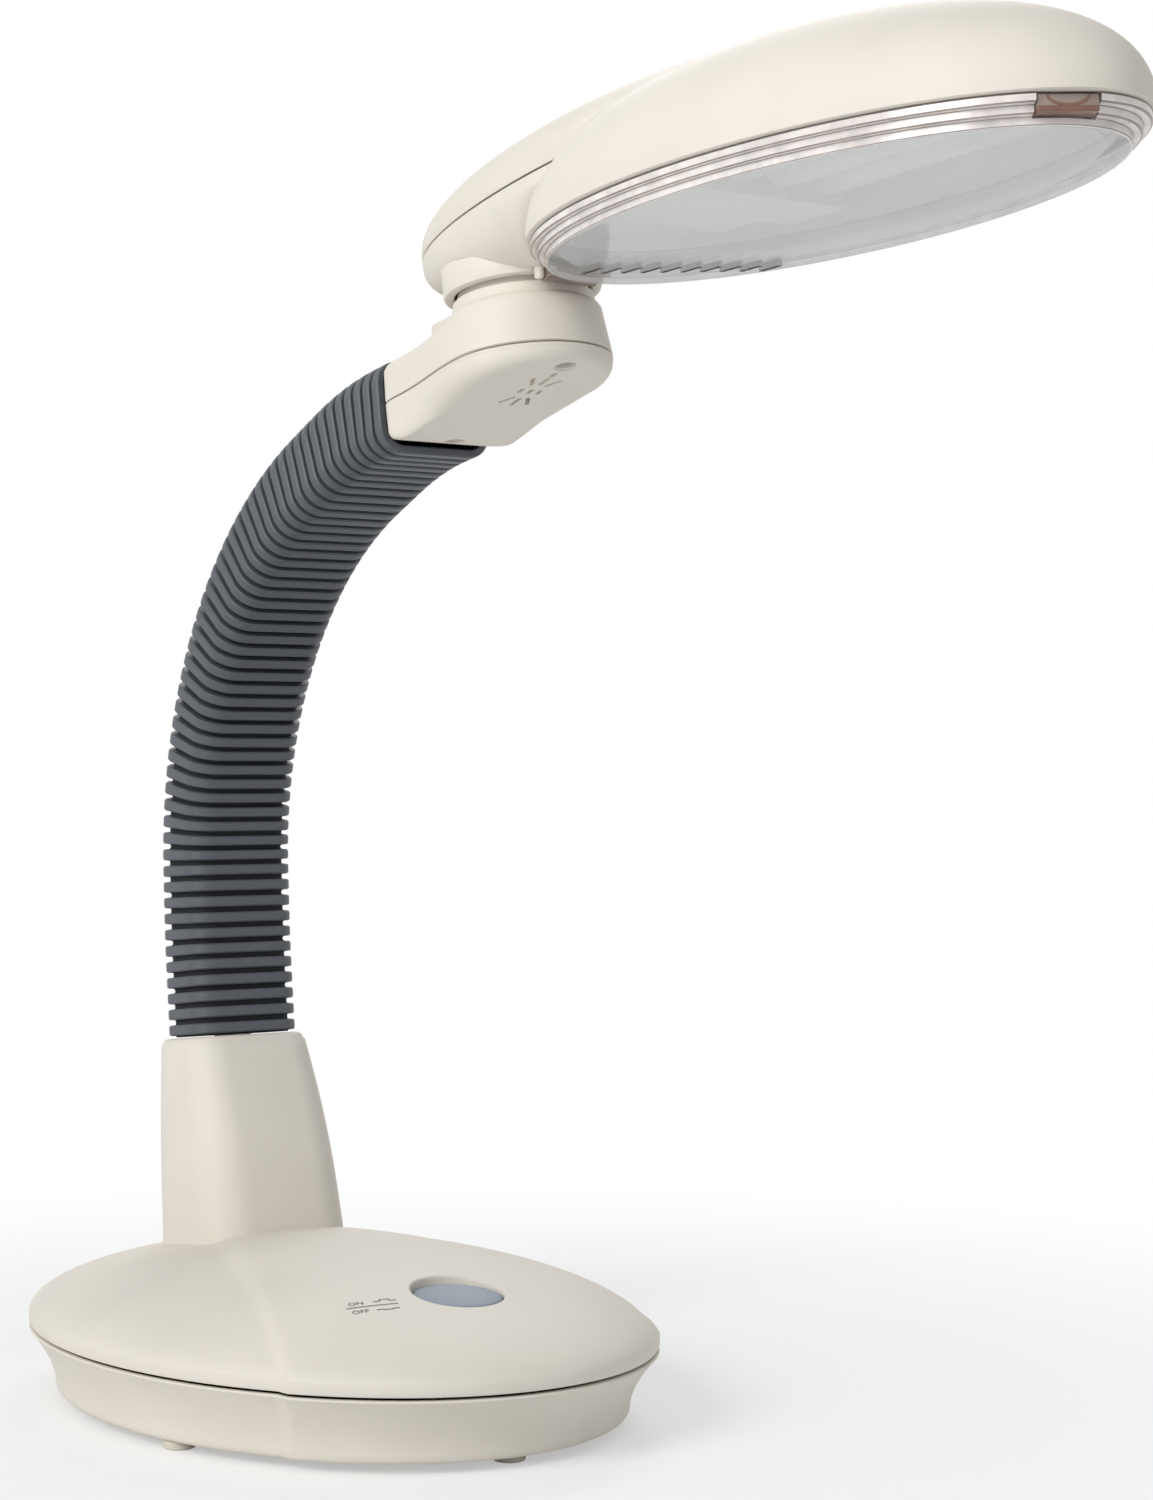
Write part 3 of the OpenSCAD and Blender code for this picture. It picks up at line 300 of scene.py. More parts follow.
def soft_box(low, high, edge, place=Matrix()):
    """Block with rounded edges."""
    bm = bmesh.new()
    bmesh.ops.create_cube(bm, size=1.0)
    for v in bm.verts:
        v.co = [mix(low[i], high[i], v.co[i] + 0.5) for i in range(3)]
    bmesh.ops.bevel(bm, geom=bm.edges[:], offset=edge, segments=3, affect="EDGES", profile=0.5)
    bm.verts.index_update()
    found = [tuple(place @ v.co) for v in bm.verts], [tuple(v.index for v in f.verts) for f in bm.faces]
    bm.free()
    return found


def turned(profile, place=Matrix(), count=32, closed=True):
    """Turned form of (radius, height) pairs about the Z axis of its place."""
    rings = [[tuple(place @ polar(r, a, z)) for a in turns(count)] for r, z in profile]
    return loft(rings, closed, closed)


def swept(lines):
    """Rings through profiles that change on their way round, given as turns with (radius, height) pairs."""
    return list(zip(*([polar(r, a, z) for r, z in profile] for a, profile in lines)))


def lying(axis, *point):
    """Frame at a point, turned a quarter about the X or Y axis."""
    return Matrix.Translation(point) @ Matrix.Rotation(math.radians(90), 4, axis)


def add_piece(name, shapes, finishes, place=Matrix(), sharp=SHARP, body=None, stands_for=()):
    """One object from shapes in millimetres: verts, faces and, where it isn't 0, the number of their finish."""
    verts, faces, numbers = [], [], []
    for shape in shapes:
        shape_verts, shape_faces, number = (*shape, 0)[:3]
        start = len(verts)
        verts += [(place @ Vector(v)) * MM for v in shape_verts]
        faces += [tuple(start + i for i in f) for f in shape_faces]
        numbers += number if isinstance(number, list) else [number] * len(shape_faces)
    mesh = bpy.data.meshes.new(name)
    mesh.from_pydata(verts, [], faces)
    for polygon, number in zip(mesh.polygons, numbers):
        polygon.material_index = number
    for finish in finishes:
        mesh.materials.append(finish_of(finish))
    tidy(mesh, sharp)
    obj = bpy.data.objects.new(name, mesh)
    bpy.context.scene.collection.objects.link(obj)
    if body:
        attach(obj, body)
    if stands_for:
        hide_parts(*stands_for)
    return obj


def tidy(mesh, sharp):
    """Outward normals, and smooth shading except over sharp edges."""
    same_point = 0.002 * MM
    bm = bmesh.new()
    bm.from_mesh(mesh)
    bmesh.ops.remove_doubles(bm, verts=bm.verts, dist=same_point)
    bmesh.ops.recalc_face_normals(bm, faces=bm.faces)
    bm.to_mesh(mesh)
    bm.free()
    mesh.polygons.foreach_set("use_smooth", [True] * len(mesh.polygons))
    mesh.set_sharp_from_angle(angle=math.radians(sharp))


def cut(obj, cutter, sharp=SHARP):
    """Takes the cutter's form out of a piece."""
    bpy.context.view_layer.update()
    modifier = obj.modifiers.new("cut", "BOOLEAN")
    modifier.operation = "DIFFERENCE"
    modifier.solver = "EXACT"
    modifier.material_mode = "TRANSFER"
    modifier.object = cutter
    graph = bpy.context.evaluated_depsgraph_get()
    mesh = bpy.data.meshes.new_from_object(obj.evaluated_get(graph))
    obj.modifiers.clear()
    obj.data = mesh
    bpy.data.objects.remove(cutter)
    mesh.set_sharp_from_angle(angle=math.radians(sharp))


def per_mm(size):
    """Scale of a pattern whose features are this many millimetres wide."""
    return 1000.0 / size


def add_node(tree, kind, inputs=None, **settings):
    """A node with its settings, its input values and its input links."""
    made = tree.nodes.new(kind)
    for name, value in settings.items():
        setattr(made, name, value)
    for name, value in (inputs or {}).items():
        if isinstance(value, bpy.types.NodeSocket):
            tree.links.new(value, made.inputs[name])
        else:
            made.inputs[name].default_value = value
    return made


def new_finish(name, **values):
    """An empty finish: its tree, its shader with the given values, and object coordinates."""
    finish = bpy.data.materials.new(name)
    finish.use_nodes = True
    tree = finish.node_tree
    shader = tree.nodes["Principled BSDF"]
    for key, value in values.items():
        shader.inputs[key.replace("_", " ")].default_value = value
    return finish, tree, shader, add_node(tree, "ShaderNodeTexCoord").outputs["Object"]


def noise(tree, place, size_mm, detail, **inputs):
    """Factor of a noise whose features are this many millimetres wide."""
    values = {"Vector": place, "Scale": per_mm(size_mm), "Detail": detail, **inputs}
    return add_node(tree, "ShaderNodeTexNoise", values).outputs["Fac"]


def two_tones(tree, factor, low, high, start=0.3, end=0.7):
    """Colour that runs from low to high with a factor."""
    ramp = add_node(tree, "ShaderNodeValToRGB", {"Fac": factor})
    for element, position, colour in zip(ramp.color_ramp.elements, (start, end), (low, high)):
        element.position = position
        element.color = (*colour, 1)
    return ramp.outputs["Color"]


def toned(colour, share):
    return tuple(min(c * share, 1.0) for c in colour)


def cloud(tree, shader, factor, colour, tones, roughness):
    """Lets a shader's colour and roughness vary with a factor, between two tones and two values."""
    tone = two_tones(tree, factor, toned(colour, tones[0]), toned(colour, tones[1]))
    tree.links.new(tone, shader.inputs["Base Color"])
    spread = add_node(tree, "ShaderNodeMapRange", {"Value": factor, "To Min": roughness[0], "To Max": roughness[1]})
    tree.links.new(spread.outputs["Result"], shader.inputs["Roughness"])


def set_relief(tree, shader, height, depth_mm, strength):
    bump = add_node(tree, "ShaderNodeBump", {"Height": height, "Distance": depth_mm * MM, "Strength": strength})
    tree.links.new(bump.outputs["Normal"], shader.inputs["Normal"])


def moulded_finish(name, colour, roughness, grain_mm, relief, ior=1.53):
    """Moulded plastic, rubber or a coat: an even colour, a fine grain and faint flow clouds."""
    finish, tree, shader, place = new_finish(name, IOR=ior)
    spread = 0.06
    # Real spark-eroded grain is about 0.1 mm wide; it is drawn coarser so that it shows in the render
    grain = noise(tree, place, grain_mm, 2.0)
    flow = noise(tree, place, 45, 3.0)
    cloud(tree, shader, flow, colour, (0.965, 1.03), (roughness - spread, roughness + spread))
    set_relief(tree, shader, grain, 0.05, relief)
    return finish


def clear_finish(name, colour, alpha):
    """Clear plastic with a glossy skin and drawn-out flow lines in slight relief."""
    finish, tree, shader, place = new_finish(name, IOR=1.49, Alpha=alpha)
    flow = noise(tree, place, 30, 2.0, Distortion=1.5)
    cloud(tree, shader, flow, colour, (0.97, 1.02), (0.03, 0.09))
    set_relief(tree, shader, flow, 0.05, 0.15)
    return finish


def edge_finish(name, colour, alpha):
    """Clear plastic seen along its edges, with darker and paler lengths."""
    finish, tree, shader, place = new_finish(name, IOR=1.49, Alpha=alpha)
    cloud(tree, shader, noise(tree, place, 18, 2.0), colour, (0.8, 1.25), (0.05, 0.15))
    return finish


def smoke_finish(name, colour, alpha):
    """Tinted clear plastic with faint flow clouds."""
    finish, tree, shader, place = new_finish(name, IOR=1.58, Alpha=alpha)
    cloud(tree, shader, noise(tree, place, 8, 2.0), colour, (0.85, 1.2), (0.06, 0.16))
    return finish


def phosphor_finish(name, colour):
    """Chalky coat behind thin glass: matt below, glossy on top."""
    finish, tree, shader, place = new_finish(name, IOR=1.5, Coat_Weight=0.8, Coat_Roughness=0.05)
    cloud(tree, shader, noise(tree, place, 6, 3.0), colour, (0.95, 1.0), (0.5, 0.65))
    return finish


def metal_finish(name, colour, low, high, grain_mm, relief):
    """Bare metal: its own colour, roughness that varies with the grain, and a slight relief."""
    finish, tree, shader, place = new_finish(name, Metallic=1.0)
    grain = noise(tree, place, grain_mm, 4.0)
    cloud(tree, shader, grain, colour, (0.9, 1.05), (low, high))
    set_relief(tree, shader, grain, 0.1, relief)
    return finish


# Recipe, material, colour as a hex value or as its name in the panel, and the recipe's own values
FINISH_RECIPES = {
    # Ivory ABS moulded in a spark-eroded tool: a satin skin with a soft broad highlight
    "casing": (moulded_finish, "abs_moulded_ivory", "casing", 0.58, 0.7, 0.22, 1.45),
    # Slate thermoplastic elastomer, moulded in ribs: a dull sheen along the ribs' corners
    "neck": (moulded_finish, "elastomer_moulded_slate", "neck", 0.48, 0.9, 0.3, 1.5),
    # The same elastomer at the bottom of the grooves, matt and darkened with painted shade
    "groove": (moulded_finish, "elastomer_groove_dark", "groove", 0.8, 1.2, 0.3, 1.5),
    # Blue grey ABS with a satin cap that shows a broad highlight
    "button": (moulded_finish, "abs_satin_button", "button", 0.5, 1.1, 0.08, 1.4),
    # Pale moulded rubber, matt and slightly mottled
    "foot": (moulded_finish, "rubber_moulded_pale", "foot", 0.75, 0.8, 0.4, 1.52),
    # White glass-filled PBT of the lamp cap, its socket and the switch
    "lamp_plastic": (moulded_finish, "pbt_moulded_white", "#E9E7E0", 0.5, 0.8, 0.2),
    # Black PVC of the cord inlet and the capacitors' sleeves
    "dark": (moulded_finish, "pvc_moulded_black", "#2E2F31", 0.55, 0.9, 0.3),
    # Natural nylon of the friction washer, the choke's bobbin and the posts, waxy and slightly yellow
    "nylon": (moulded_finish, "nylon_natural", "#D8D2B8", 0.5, 1.0, 0.15),
    # White powder coat on the pressed reflector: satin, faintly dimpled
    "reflector": (moulded_finish, "powder_coat_white", "#F3F4F3", 0.35, 1.6, 0.25),
    # Glass-fibre board with a green mask
    "board": (moulded_finish, "glass_fibre_board", "#55744A", 0.4, 1.5, 0.2),
    # Pad-printed ink, matt with slightly thin patches
    "ink": (moulded_finish, "ink_pad_printed", "print_ink", 0.6, 0.6, 0.1),
    # Clear moulded acrylic: a glossy skin over a view that is slightly greyed, with faint flow lines
    "lens": (clear_finish, "acrylic_moulded_clear", "lens", 0.36),
    # The acrylic's steps seen edge on: light piped along them leaves grey brown and pale lines
    "lens_edge": (edge_finish, "acrylic_edge_lines", "lens_edge", 0.72),
    # The upright faces of the rim's steps: a painted highlight, pale and almost white, for the light that these clear
    # faces catch
    "lens_painted_highlight": (smoke_finish, "acrylic_step_pale", "#E6DFDB", 0.8),
    # Sawn walls of the louvre slots, coloured dark with painted shade, as they look dark through the clear floor
    "lens_slot_painted_shade": (smoke_finish, "acrylic_slot_wall", "#6E625C", 0.95),
    # Smoke-tinted polycarbonate of the latch tab, half clear
    "latch": (smoke_finish, "polycarbonate_smoke", "latch", 0.7),
    # The same polycarbonate seen through its thick edges, where the tint gathers
    "latch_edge": (smoke_finish, "polycarbonate_smoke_edge", "latch_edge", 0.85),
    # White phosphor behind thin glass: chalky white with a glossy coat
    "tube": (phosphor_finish, "glass_phosphor_white", "tube"),
    # Zinc-plated steel of screws and shaft, bright with a fine crystalline grain
    "steel": (metal_finish, "steel_zinc_plated", "#BFC1C3", 0.25, 0.4, 1.2, 0.15),
    # Raw grey iron of the ballast weight and clamps, dark and sandy
    "iron": (metal_finish, "iron_sand_cast", "#5B5D60", 0.55, 0.8, 1.5, 0.6),
}
FINISHES = {}


def finish_of(key):
    """The finish of a recipe, made on its first use."""
    if key not in FINISHES:
        recipe, name, tint, *values = FINISH_RECIPES[key]
        colour = linear(tint) if tint.startswith("#") else getattr(bpy.context.scene.lamp_colours, tint)
        FINISHES[key] = recipe(name, colour, *values)
    return FINISHES[key]


# Finishes of the solids that show as they are
NODE_FINISHES = {
    "base_weight": "iron", "ballast_board": "board", "board_posts": "nylon",
    "ballast_choke": "nylon", "ballast_capacitors": "dark", "switch_body": "lamp_plastic", "cord_inlet": "dark",
    "column_screws": "steel", "neck_anchor": "iron", "neck_clamp": "iron",
    "friction_washer": "nylon", "swivel_shaft": "steel", "swivel_ring": "iron",
    "head_screws": "steel", "reflector": "reflector", "lamp_socket": "lamp_plastic", "tube_clip": "steel",
    "lamp_cap": "lamp_plastic",
}


def knuckle_place():
    """Frame of the knuckle: the swivel axis is its Z, and Y runs back to the neck."""
    k = sizes(bpy.context.scene.lamp_knuckle)
    side = Vector((1, 0, 0))
    up = Vector(JOINTS["head_swivel"]["axis"]).normalized()
    back = up.cross(side)
    origin = Vector(JOINTS["head_swivel"]["pos_m"]) / MM - k.collar_height * up
    return Matrix((*zip(side, back, up, origin), (0, 0, 0, 1)))


def head_place():
    """Frame of the head: its origin lies in the middle of the lip, and Y runs back."""
    k = sizes(bpy.context.scene.lamp_knuckle)
    h = sizes(bpy.context.scene.lamp_head)
    knuckle = knuckle_place()
    lean = math.atan2(knuckle[1][2], knuckle[2][2])
    return (knuckle @ Matrix.Translation((0, 0, k.collar_height)) @ Matrix.Rotation(lean - h.tilt, 4, "X")
            @ Matrix.Translation((0, -h.ahead, h.rise)))


def lobe_share(b, x, y):
    """How much of the front lobe's step a point of the base has."""
    # Half width of the lobe's soft edge at the front and at its root
    front, root = 1.6, 4.2
    inside = (b.lobe_root + (b.lobe_start - y) * math.tan(b.lobe_spread) - abs(x)) * math.cos(b.lobe_spread)
    width = mix(front, root, ease(-b.half_length, b.lobe_start, y))
    return ease(-width, width, inside)


def cover_height(b, x, y):
    """Height of the cover's skin over a point."""
    q = math.hypot(x / b.half_width, y / b.half_length)
    out = q / (1 + b.lobe_step / b.half_width)
    low = (b.dome - b.rim) * max(1 - q ** b.shape, 0) ** (1 / b.shape)
    high = (b.dome - b.rim + b.lobe_lift) * max(1 - out ** b.shape, 0) ** (1 / b.shape)
    return b.seam + b.rim + mix(low, high, lobe_share(b, x, y))


def rim_point(b, a, q=1.0, inset=0.0):
    """Point at turn a and a share q of the base's outline. The lobe's step grows towards the outline."""
    x, y = b.half_width * math.sin(a), -b.half_length * math.cos(a)
    step = 1 + lobe_share(b, x, y) * b.lobe_step / b.half_width * ease(0.6, 1.0, q)
    size = q * step * (1 - inset / b.half_width)
    return x * size, y * size


def rim_ring(b, z, q=1.0, inset=0.0):
    """Level ring along the base's outline."""
    return [(*rim_point(b, a, q, inset), z) for a in turns(BASE_TURNS)]


class LAMP_OT_base_tray(bpy.types.Operator):
    """Tapered tray below the seam, with the step of the front lobe"""
    bl_idname = "lamp.base_tray"
    bl_label = "Base tray"

    def execute(self, context):
        b = sizes(context.scene.lamp_base)
        top, low = b.seam - b.seam_gap / 2, b.bottom
        # Pairs of inset and height: the lip at the seam, the hollow wall and the rounded bottom edge
        lip = [(3.0, -1.5), (2.6, -0.2), (1.0, 0.0), (0.35, -0.15), (0.0, -0.7)]
        wall_foot, hollow = 1.6, 1.8
        bottom = [(0.5, 0.7), (1.2, 0.15), (2.2, 0.0)]
        profile = [(inset, top + z) for inset, z in lip]
        profile += [(b.taper * (1 - (1 - t) ** hollow), mix(top + lip[-1][1], low + wall_foot, t)) for t in steps(12)]
        profile += [(b.taper + inset, low + z) for inset, z in bottom]
        rings = [rim_ring(b, z, inset=inset) for inset, z in profile]
        rings += [rim_ring(b, low, q) for q in (0.75, 0.5, 0.25, 0.02)]
        add_piece("tray_moulding", [loft(rings, False, True)], ["casing"], body="base", stands_for=["base_tray"])
        return {"FINISHED"}


class LAMP_OT_base_cover(bpy.types.Operator):
    """Domed cover with its raised front lobe and the rolled rim round the button"""
    bl_idname = "lamp.base_cover"
    bl_label = "Base cover"

    def execute(self, context):
        b = sizes(context.scene.lamp_base)
        clearance = 0.4
        hole = b.button_radius + clearance
        centre = (0.0, -b.button_front - b.button_top * math.sin(b.button_lean))
        edge = b.seam + b.seam_gap / 2
        around = turns(BASE_TURNS)
        # The rings change from the button's circle to the base's outline up to this share of it
        inner = 0.9
        outer = [rim_point(b, a, inner) for a in around]
        toward = [Vector((x - centre[0], y - centre[1])).normalized() for x, y in outer]
        # Distance from the hole and lift of the rolled rim
        lip = [(0.0, -7.0), (0.0, -0.9), (0.1, -0.4), (0.35, -0.06), (0.8, 0.08), (1.6, 0.1), (2.6, 0.05),
               (4.5, 0.0), (7.5, 0.0)]
        # Inset and height over the seam of the cover's lower edge
        rim = [(0.0, 2.2), (0.0, 0.8), (0.25, 0.2), (0.8, 0.0), (2.6, 0.0), (2.6, 6.0)]

        def circle(grow):
            return [(centre[0] + (hole + grow) * d.x, centre[1] + (hole + grow) * d.y) for d in toward]

        def skin(points, lift=0.0):
            return [(x, y, cover_height(b, x, y) + lift) for x, y in points]

        rings = [skin(circle(grow), lift) for grow, lift in lip]
        near = circle(lip[-1][0])
        for t in steps(36):
            rings.append(skin([(mix(p[0], o[0], t), mix(p[1], o[1], t)) for p, o in zip(near, outer)]))
        for t in steps(18):
            q = math.cos(math.acos(inner) * (1 - t))
            rings.append(skin([rim_point(b, a, q) for a in around]))
        rings += [rim_ring(b, edge + z, inset=inset) for inset, z in rim]
        add_piece("cover_moulding", [loft(rings)], ["casing"], body="base", stands_for=["base_cover"])
        return {"FINISHED"}


class LAMP_OT_push_button(bpy.types.Operator):
    """Domed push button with a rounded edge, sunk in the cover's rim"""
    bl_idname = "lamp.push_button"
    bl_label = "Push button"

    def execute(self, context):
        b = sizes(context.scene.lamp_base)
        place = Matrix.Translation((0, -b.button_front, b.seam)) @ Matrix.Rotation(b.button_lean, 4, "X")
        crown, flat = 2.2, b.button_radius - 1.0
        ball = (flat ** 2 + crown ** 2) / (2 * crown)
        low = b.button_top - crown
        cap = [(flat * t, b.button_top - ball + math.sqrt(ball ** 2 - (flat * t) ** 2)) for t in steps(14)]
        cap += [(flat + 0.6, low - 0.25), (flat + 1.0, low - 0.7), (b.button_radius, low - 1.4),
                (b.button_radius, low - 8)]
        stem = [(3.8, low - 7.5), (4.0, low - 9), (4.0, -2.0)]
        add_piece("button_cap", [turned(cap, count=72), turned(stem)], ["button"], place,
                  body="button", stands_for=["push_button"])
        return {"FINISHED"}


class LAMP_OT_switch_marks(bpy.types.Operator):
    """Printed marks beside the button: two switch signs with ON and OFF"""
    bl_idname = "lamp.switch_marks"
    bl_label = "Switch marks"

    def execute(self, context):
        b = sizes(context.scene.lamp_base)
        # Middle of the marks, their turned scale, the ink's lift and the longest part of a line on the dome
        middle, along, aslant, lift, part = (-34.0, -81.5), 0.75, 0.27, 0.2, 1.5
        shapes = []

        def lay(points, faces):
            laid = []
            for x, y in points:
                px, py = middle[0] + x * along + y * aslant, middle[1] - x * aslant + y * along
                laid.append((px, py, cover_height(b, px, py) + lift))
            shapes.append((laid, faces))

        def bar(x0, y0, x1, y1, half=0.28):
            d = Vector((x1 - x0, y1 - y0)).normalized() * half
            count = 1 + int(math.hypot(x1 - x0, y1 - y0) / part)
            points = [(mix(x0, x1, i / count) + s * d.y, mix(y0, y1, i / count) - s * d.x)
                      for i in range(count + 1) for s in (1, -1)]
            lay(points, [(2 * i, 2 * i + 2, 2 * i + 3, 2 * i + 1) for i in range(count)])

        bar(-10, 0, 12, 0)
        # A button that stands out of its plate, and one that is pressed in
        (start, left, right, end), height = (2, 5, 9, 12), 1.6
        for y, out in ((4.0, 1.0), (-4.6, -0.4)):
            top = y + height * out
            bar(start, y, left, y)
            bar(right, y, end, y)
            bar(left, y, left, top)
            bar(right, y, right, top)
            bar(left, top, right, top)
        for words, x, y in (("ON", -8.5, 2.6), ("OFF", -8.5, -6.0)):
            curve = bpy.data.curves.new("letters", "FONT")
            curve.body = words
            curve.size = 4.2
            letters = bpy.data.objects.new("letters", curve)
            mesh = letters.to_mesh()
            lay([(x + v.co.x, y + v.co.y) for v in mesh.vertices], [tuple(p.vertices) for p in mesh.polygons])
            letters.to_mesh_clear()
            bpy.data.objects.remove(letters)
        add_piece("switch_marks", shapes, ["ink"], body="base")
        return {"FINISHED"}


class LAMP_OT_feet(bpy.types.Operator):
    """Rubber feet under the tray, each with a rounded tread, and the flush screws between them"""
    bl_idname = "lamp.feet"
    bl_label = "Rubber feet"

    def execute(self, context):
        b = sizes(context.scene.lamp_base)
        margin = 2
        r, low = b.foot_radius, b.bottom
        reach = b.half_width - b.taper - r - margin
        tread = [(r - 2.2, 0.35), (r - 1.8, 0.0), (r - 0.7, 0.0), (r - 0.2, 0.25), (r, 0.8), (r, low - 0.5),
                 (r - 0.3, low)]
        feet = []
        for a in turns(b.foot_count):
            place = Matrix.Translation((reach * math.sin(a), -reach * b.half_length / b.half_width * math.cos(a), 0))
            feet.append(turned(tread, place, 40))
        add_piece("foot_set", feet, ["foot"], body="base", stands_for=["rubber_feet"])
        screw = [(0.7, low + 0.8), (0.8, low - 0.1), (2.0, low - 0.1), (3.0, low + 0.1), (3.3, low + 0.7),
                 (3.3, low + 1.5), (1.5, low + 1.6), (1.5, b.seam)]
        screws = [turned(screw, Matrix.Translation((x * b.screw_aside, y * b.screw_along, 0)))
                  for x in (-1, 1) for y in (-1, 1)]
        add_piece("base_screw_set", screws, ["steel"], body="base", stands_for=["base_screws"])
        return {"FINISHED"}


class LAMP_OT_column(bpy.types.Operator):
    """Tapered column with round corners and a rounded shoulder below the neck"""
    bl_idname = "lamp.column"
    bl_label = "Column"

    def execute(self, context):
        c = sizes(context.scene.lamp_column)
        # The sides swell at half height: in width, in depth and to the front
        wide, deep, ahead = 1.2, 2.0, 1.0
        least_corner, rows = 1.0, 24

        def ring(t, inset=0.0, lift=0.0):
            lean, swell = c.lean * t, math.sin(math.pi * t)
            width = mix(c.foot_width, c.top_width, t) + wide * swell - 2 * inset
            depth = mix(c.foot_depth, c.top_depth, t) + deep * swell - 2 * inset
            corner = max(mix(c.foot_corner, c.top_corner, t) - inset, least_corner)
            y0 = mix(c.foot_back, c.top_back, t) - ahead * swell
            z0 = mix(c.taper_z, c.top_z, t)
            c_lean, s_lean = math.cos(lean), math.sin(lean)
            return [(x, y0 + y * c_lean + lift * s_lean, z0 - y * s_lean + lift * c_lean)
                    for x, y in rounded_rect(width, depth, corner, 12)]

        rings = [[(x, y, c.foot_z) for x, y, _ in ring(0)]] + [ring(i / rows) for i in range(rows)]
        rings += [ring(1, c.edge * inset, c.edge * (rise - 1)) for inset, rise in quarter(6)]
        # The flat top dips where the neck hides it
        rings += [ring(1, c.edge + inset, lift) for inset, lift in ((1.5, 0.0), (4.0, -0.2), (6.0, -3.0))]
        add_piece("column_moulding", [loft(rings, True, True)], ["casing"], sharp=40,
                  body="base", stands_for=["column"])
        return {"FINISHED"}


class LAMP_OT_neck(bpy.types.Operator):
    """Ribbed sleeve over its steel core, one piece for each bending segment"""
    bl_idname = "lamp.neck"
    bl_label = "Ribbed neck"

    def execute(self, context):
        n = sizes(context.scene.lamp_neck)
        c = sizes(context.scene.lamp_column)
        k = sizes(context.scene.lamp_knuckle)
        joints = [Vector((0, c.top_back, c.top_z)), *NECK_JOINTS, knuckle_place() @ Vector((0, k.arm_length, 0))]
        ways = [(b - a).normalized() for a, b in zip(joints, joints[1:])]
        middles = [(a + b) / 2 for a, b in zip(joints, joints[1:])]
        pitch = (joints[2] - joints[1]).length
        last = len(middles) - 1
        straight = 0.999999

        def at(i, s):
            """Point and direction of the neck's curve at a distance from the middle of segment i."""
            j = i if s < 0 else i + 1
            if j == 0 or j > last:
                return middles[i] + s * ways[i], ways[i]
            a, b, u, v = middles[j - 1], middles[j], ways[j - 1], ways[j]
            t = (s + pitch if s < 0 else s) / pitch
            point = ((2 * t ** 3 - 3 * t ** 2 + 1) * a + (t ** 3 - 2 * t ** 2 + t) * pitch * u
                     + (3 * t ** 2 - 2 * t ** 3) * b + (t ** 3 - t ** 2) * pitch * v)
            return point, u.slerp(v, t) if u.dot(v) < straight else u

        def section(outline, point, way):
            side = Vector((0, way.z, -way.y))
            return [point + Vector((x, 0, 0)) + y * side for x, y in outline]

        def sleeve(inset):
            return rounded_rect(n.width - 2 * inset, n.depth - 2 * inset, n.corner - inset)

        half = n.rib / 2
        flank = [(half - n.chamfer - 0.1, 0.0), (half - 0.1, n.chamfer), (half + 0.05, n.groove - 0.3),
                 (half + 0.25, n.groove)]
        rib = [(-s, inset) for s, inset in reversed(flank)] + [(0.0, 0.0)] + flank
        ribs = [(pitch / n.ribs * (r - (n.ribs - 1) / 2) + s, inset) for r in range(n.ribs) for s, inset in rib]
        # Neighbours slide in each other past their joint, so the sleeve stays closed when it bends
        lap, turn_in, end_gap, lap_depths = 2.5, 0.3, 0.4, (0.9, 0.3)
        # Faces below this share of the groove's depth have the groove's finish, darkened with painted shade
        shaded = 0.7 * n.groove
        core_outline = [(n.core * math.cos(w), n.core * math.sin(w)) for w in turns(20)]
        core_lap, core_rows = 1, 6
        for i in range(last + 1):
            inner = n.groove + lap_depths[i % 2]
            laps = [(pitch / 2 - turn_in, inner), (pitch / 2 + lap, inner)]
            end = [(pitch / 2 - end_gap, n.groove)]
            before = [(-s, inset) for s, inset in reversed(laps if i > 0 else end)]
            rows = before + ribs + (laps if i < last else end)
            verts, faces = loft([section(sleeve(inset), *at(i, s)) for s, inset in rows])
            size = len(faces) // (len(rows) - 1)
            deep = [1 if min(a[1], b[1]) > shaded else 0 for a, b in zip(rows, rows[1:])]
            numbers = [deep[f // size] for f in range(len(faces))]
            core = loft([section(core_outline, *at(i, (pitch + core_lap) * (t / core_rows - 0.5)))
                         for t in range(core_rows + 1)], True, True)
            add_piece(f"neck_ribs_{i + 1:02d}", [(verts, faces, numbers), (*core, 2)], ["neck", "groove", "steel"],
                      sharp=25, body=NECK_BODIES[i],
                      stands_for=[f"neck_sleeve_{i + 1:02d}"] + (["neck_core"] if i == 0 else []))
        return {"FINISHED"}


def knuckle_reach(k, a):
    """Distance from the swivel axis to the knuckle's outline at turn a."""
    c, d = max(abs(math.cos(a)), 1e-6), math.sin(a)
    if d <= 0:
        return k.drum
    # Length over which the drum narrows to the arm, and sharpness of the arm's corners
    narrowing, corner = 46, 14
    r = k.drum
    # The width at a point hangs on how far back it lies, so it is found step by step
    for _ in range(40):
        side = mix(k.drum, k.arm_width / 2, ease(0, narrowing, r * d)) / c
        r = (side ** -corner + (k.arm_length / d) ** -corner) ** (-1 / corner)
    return max(r, k.drum * 0.985)


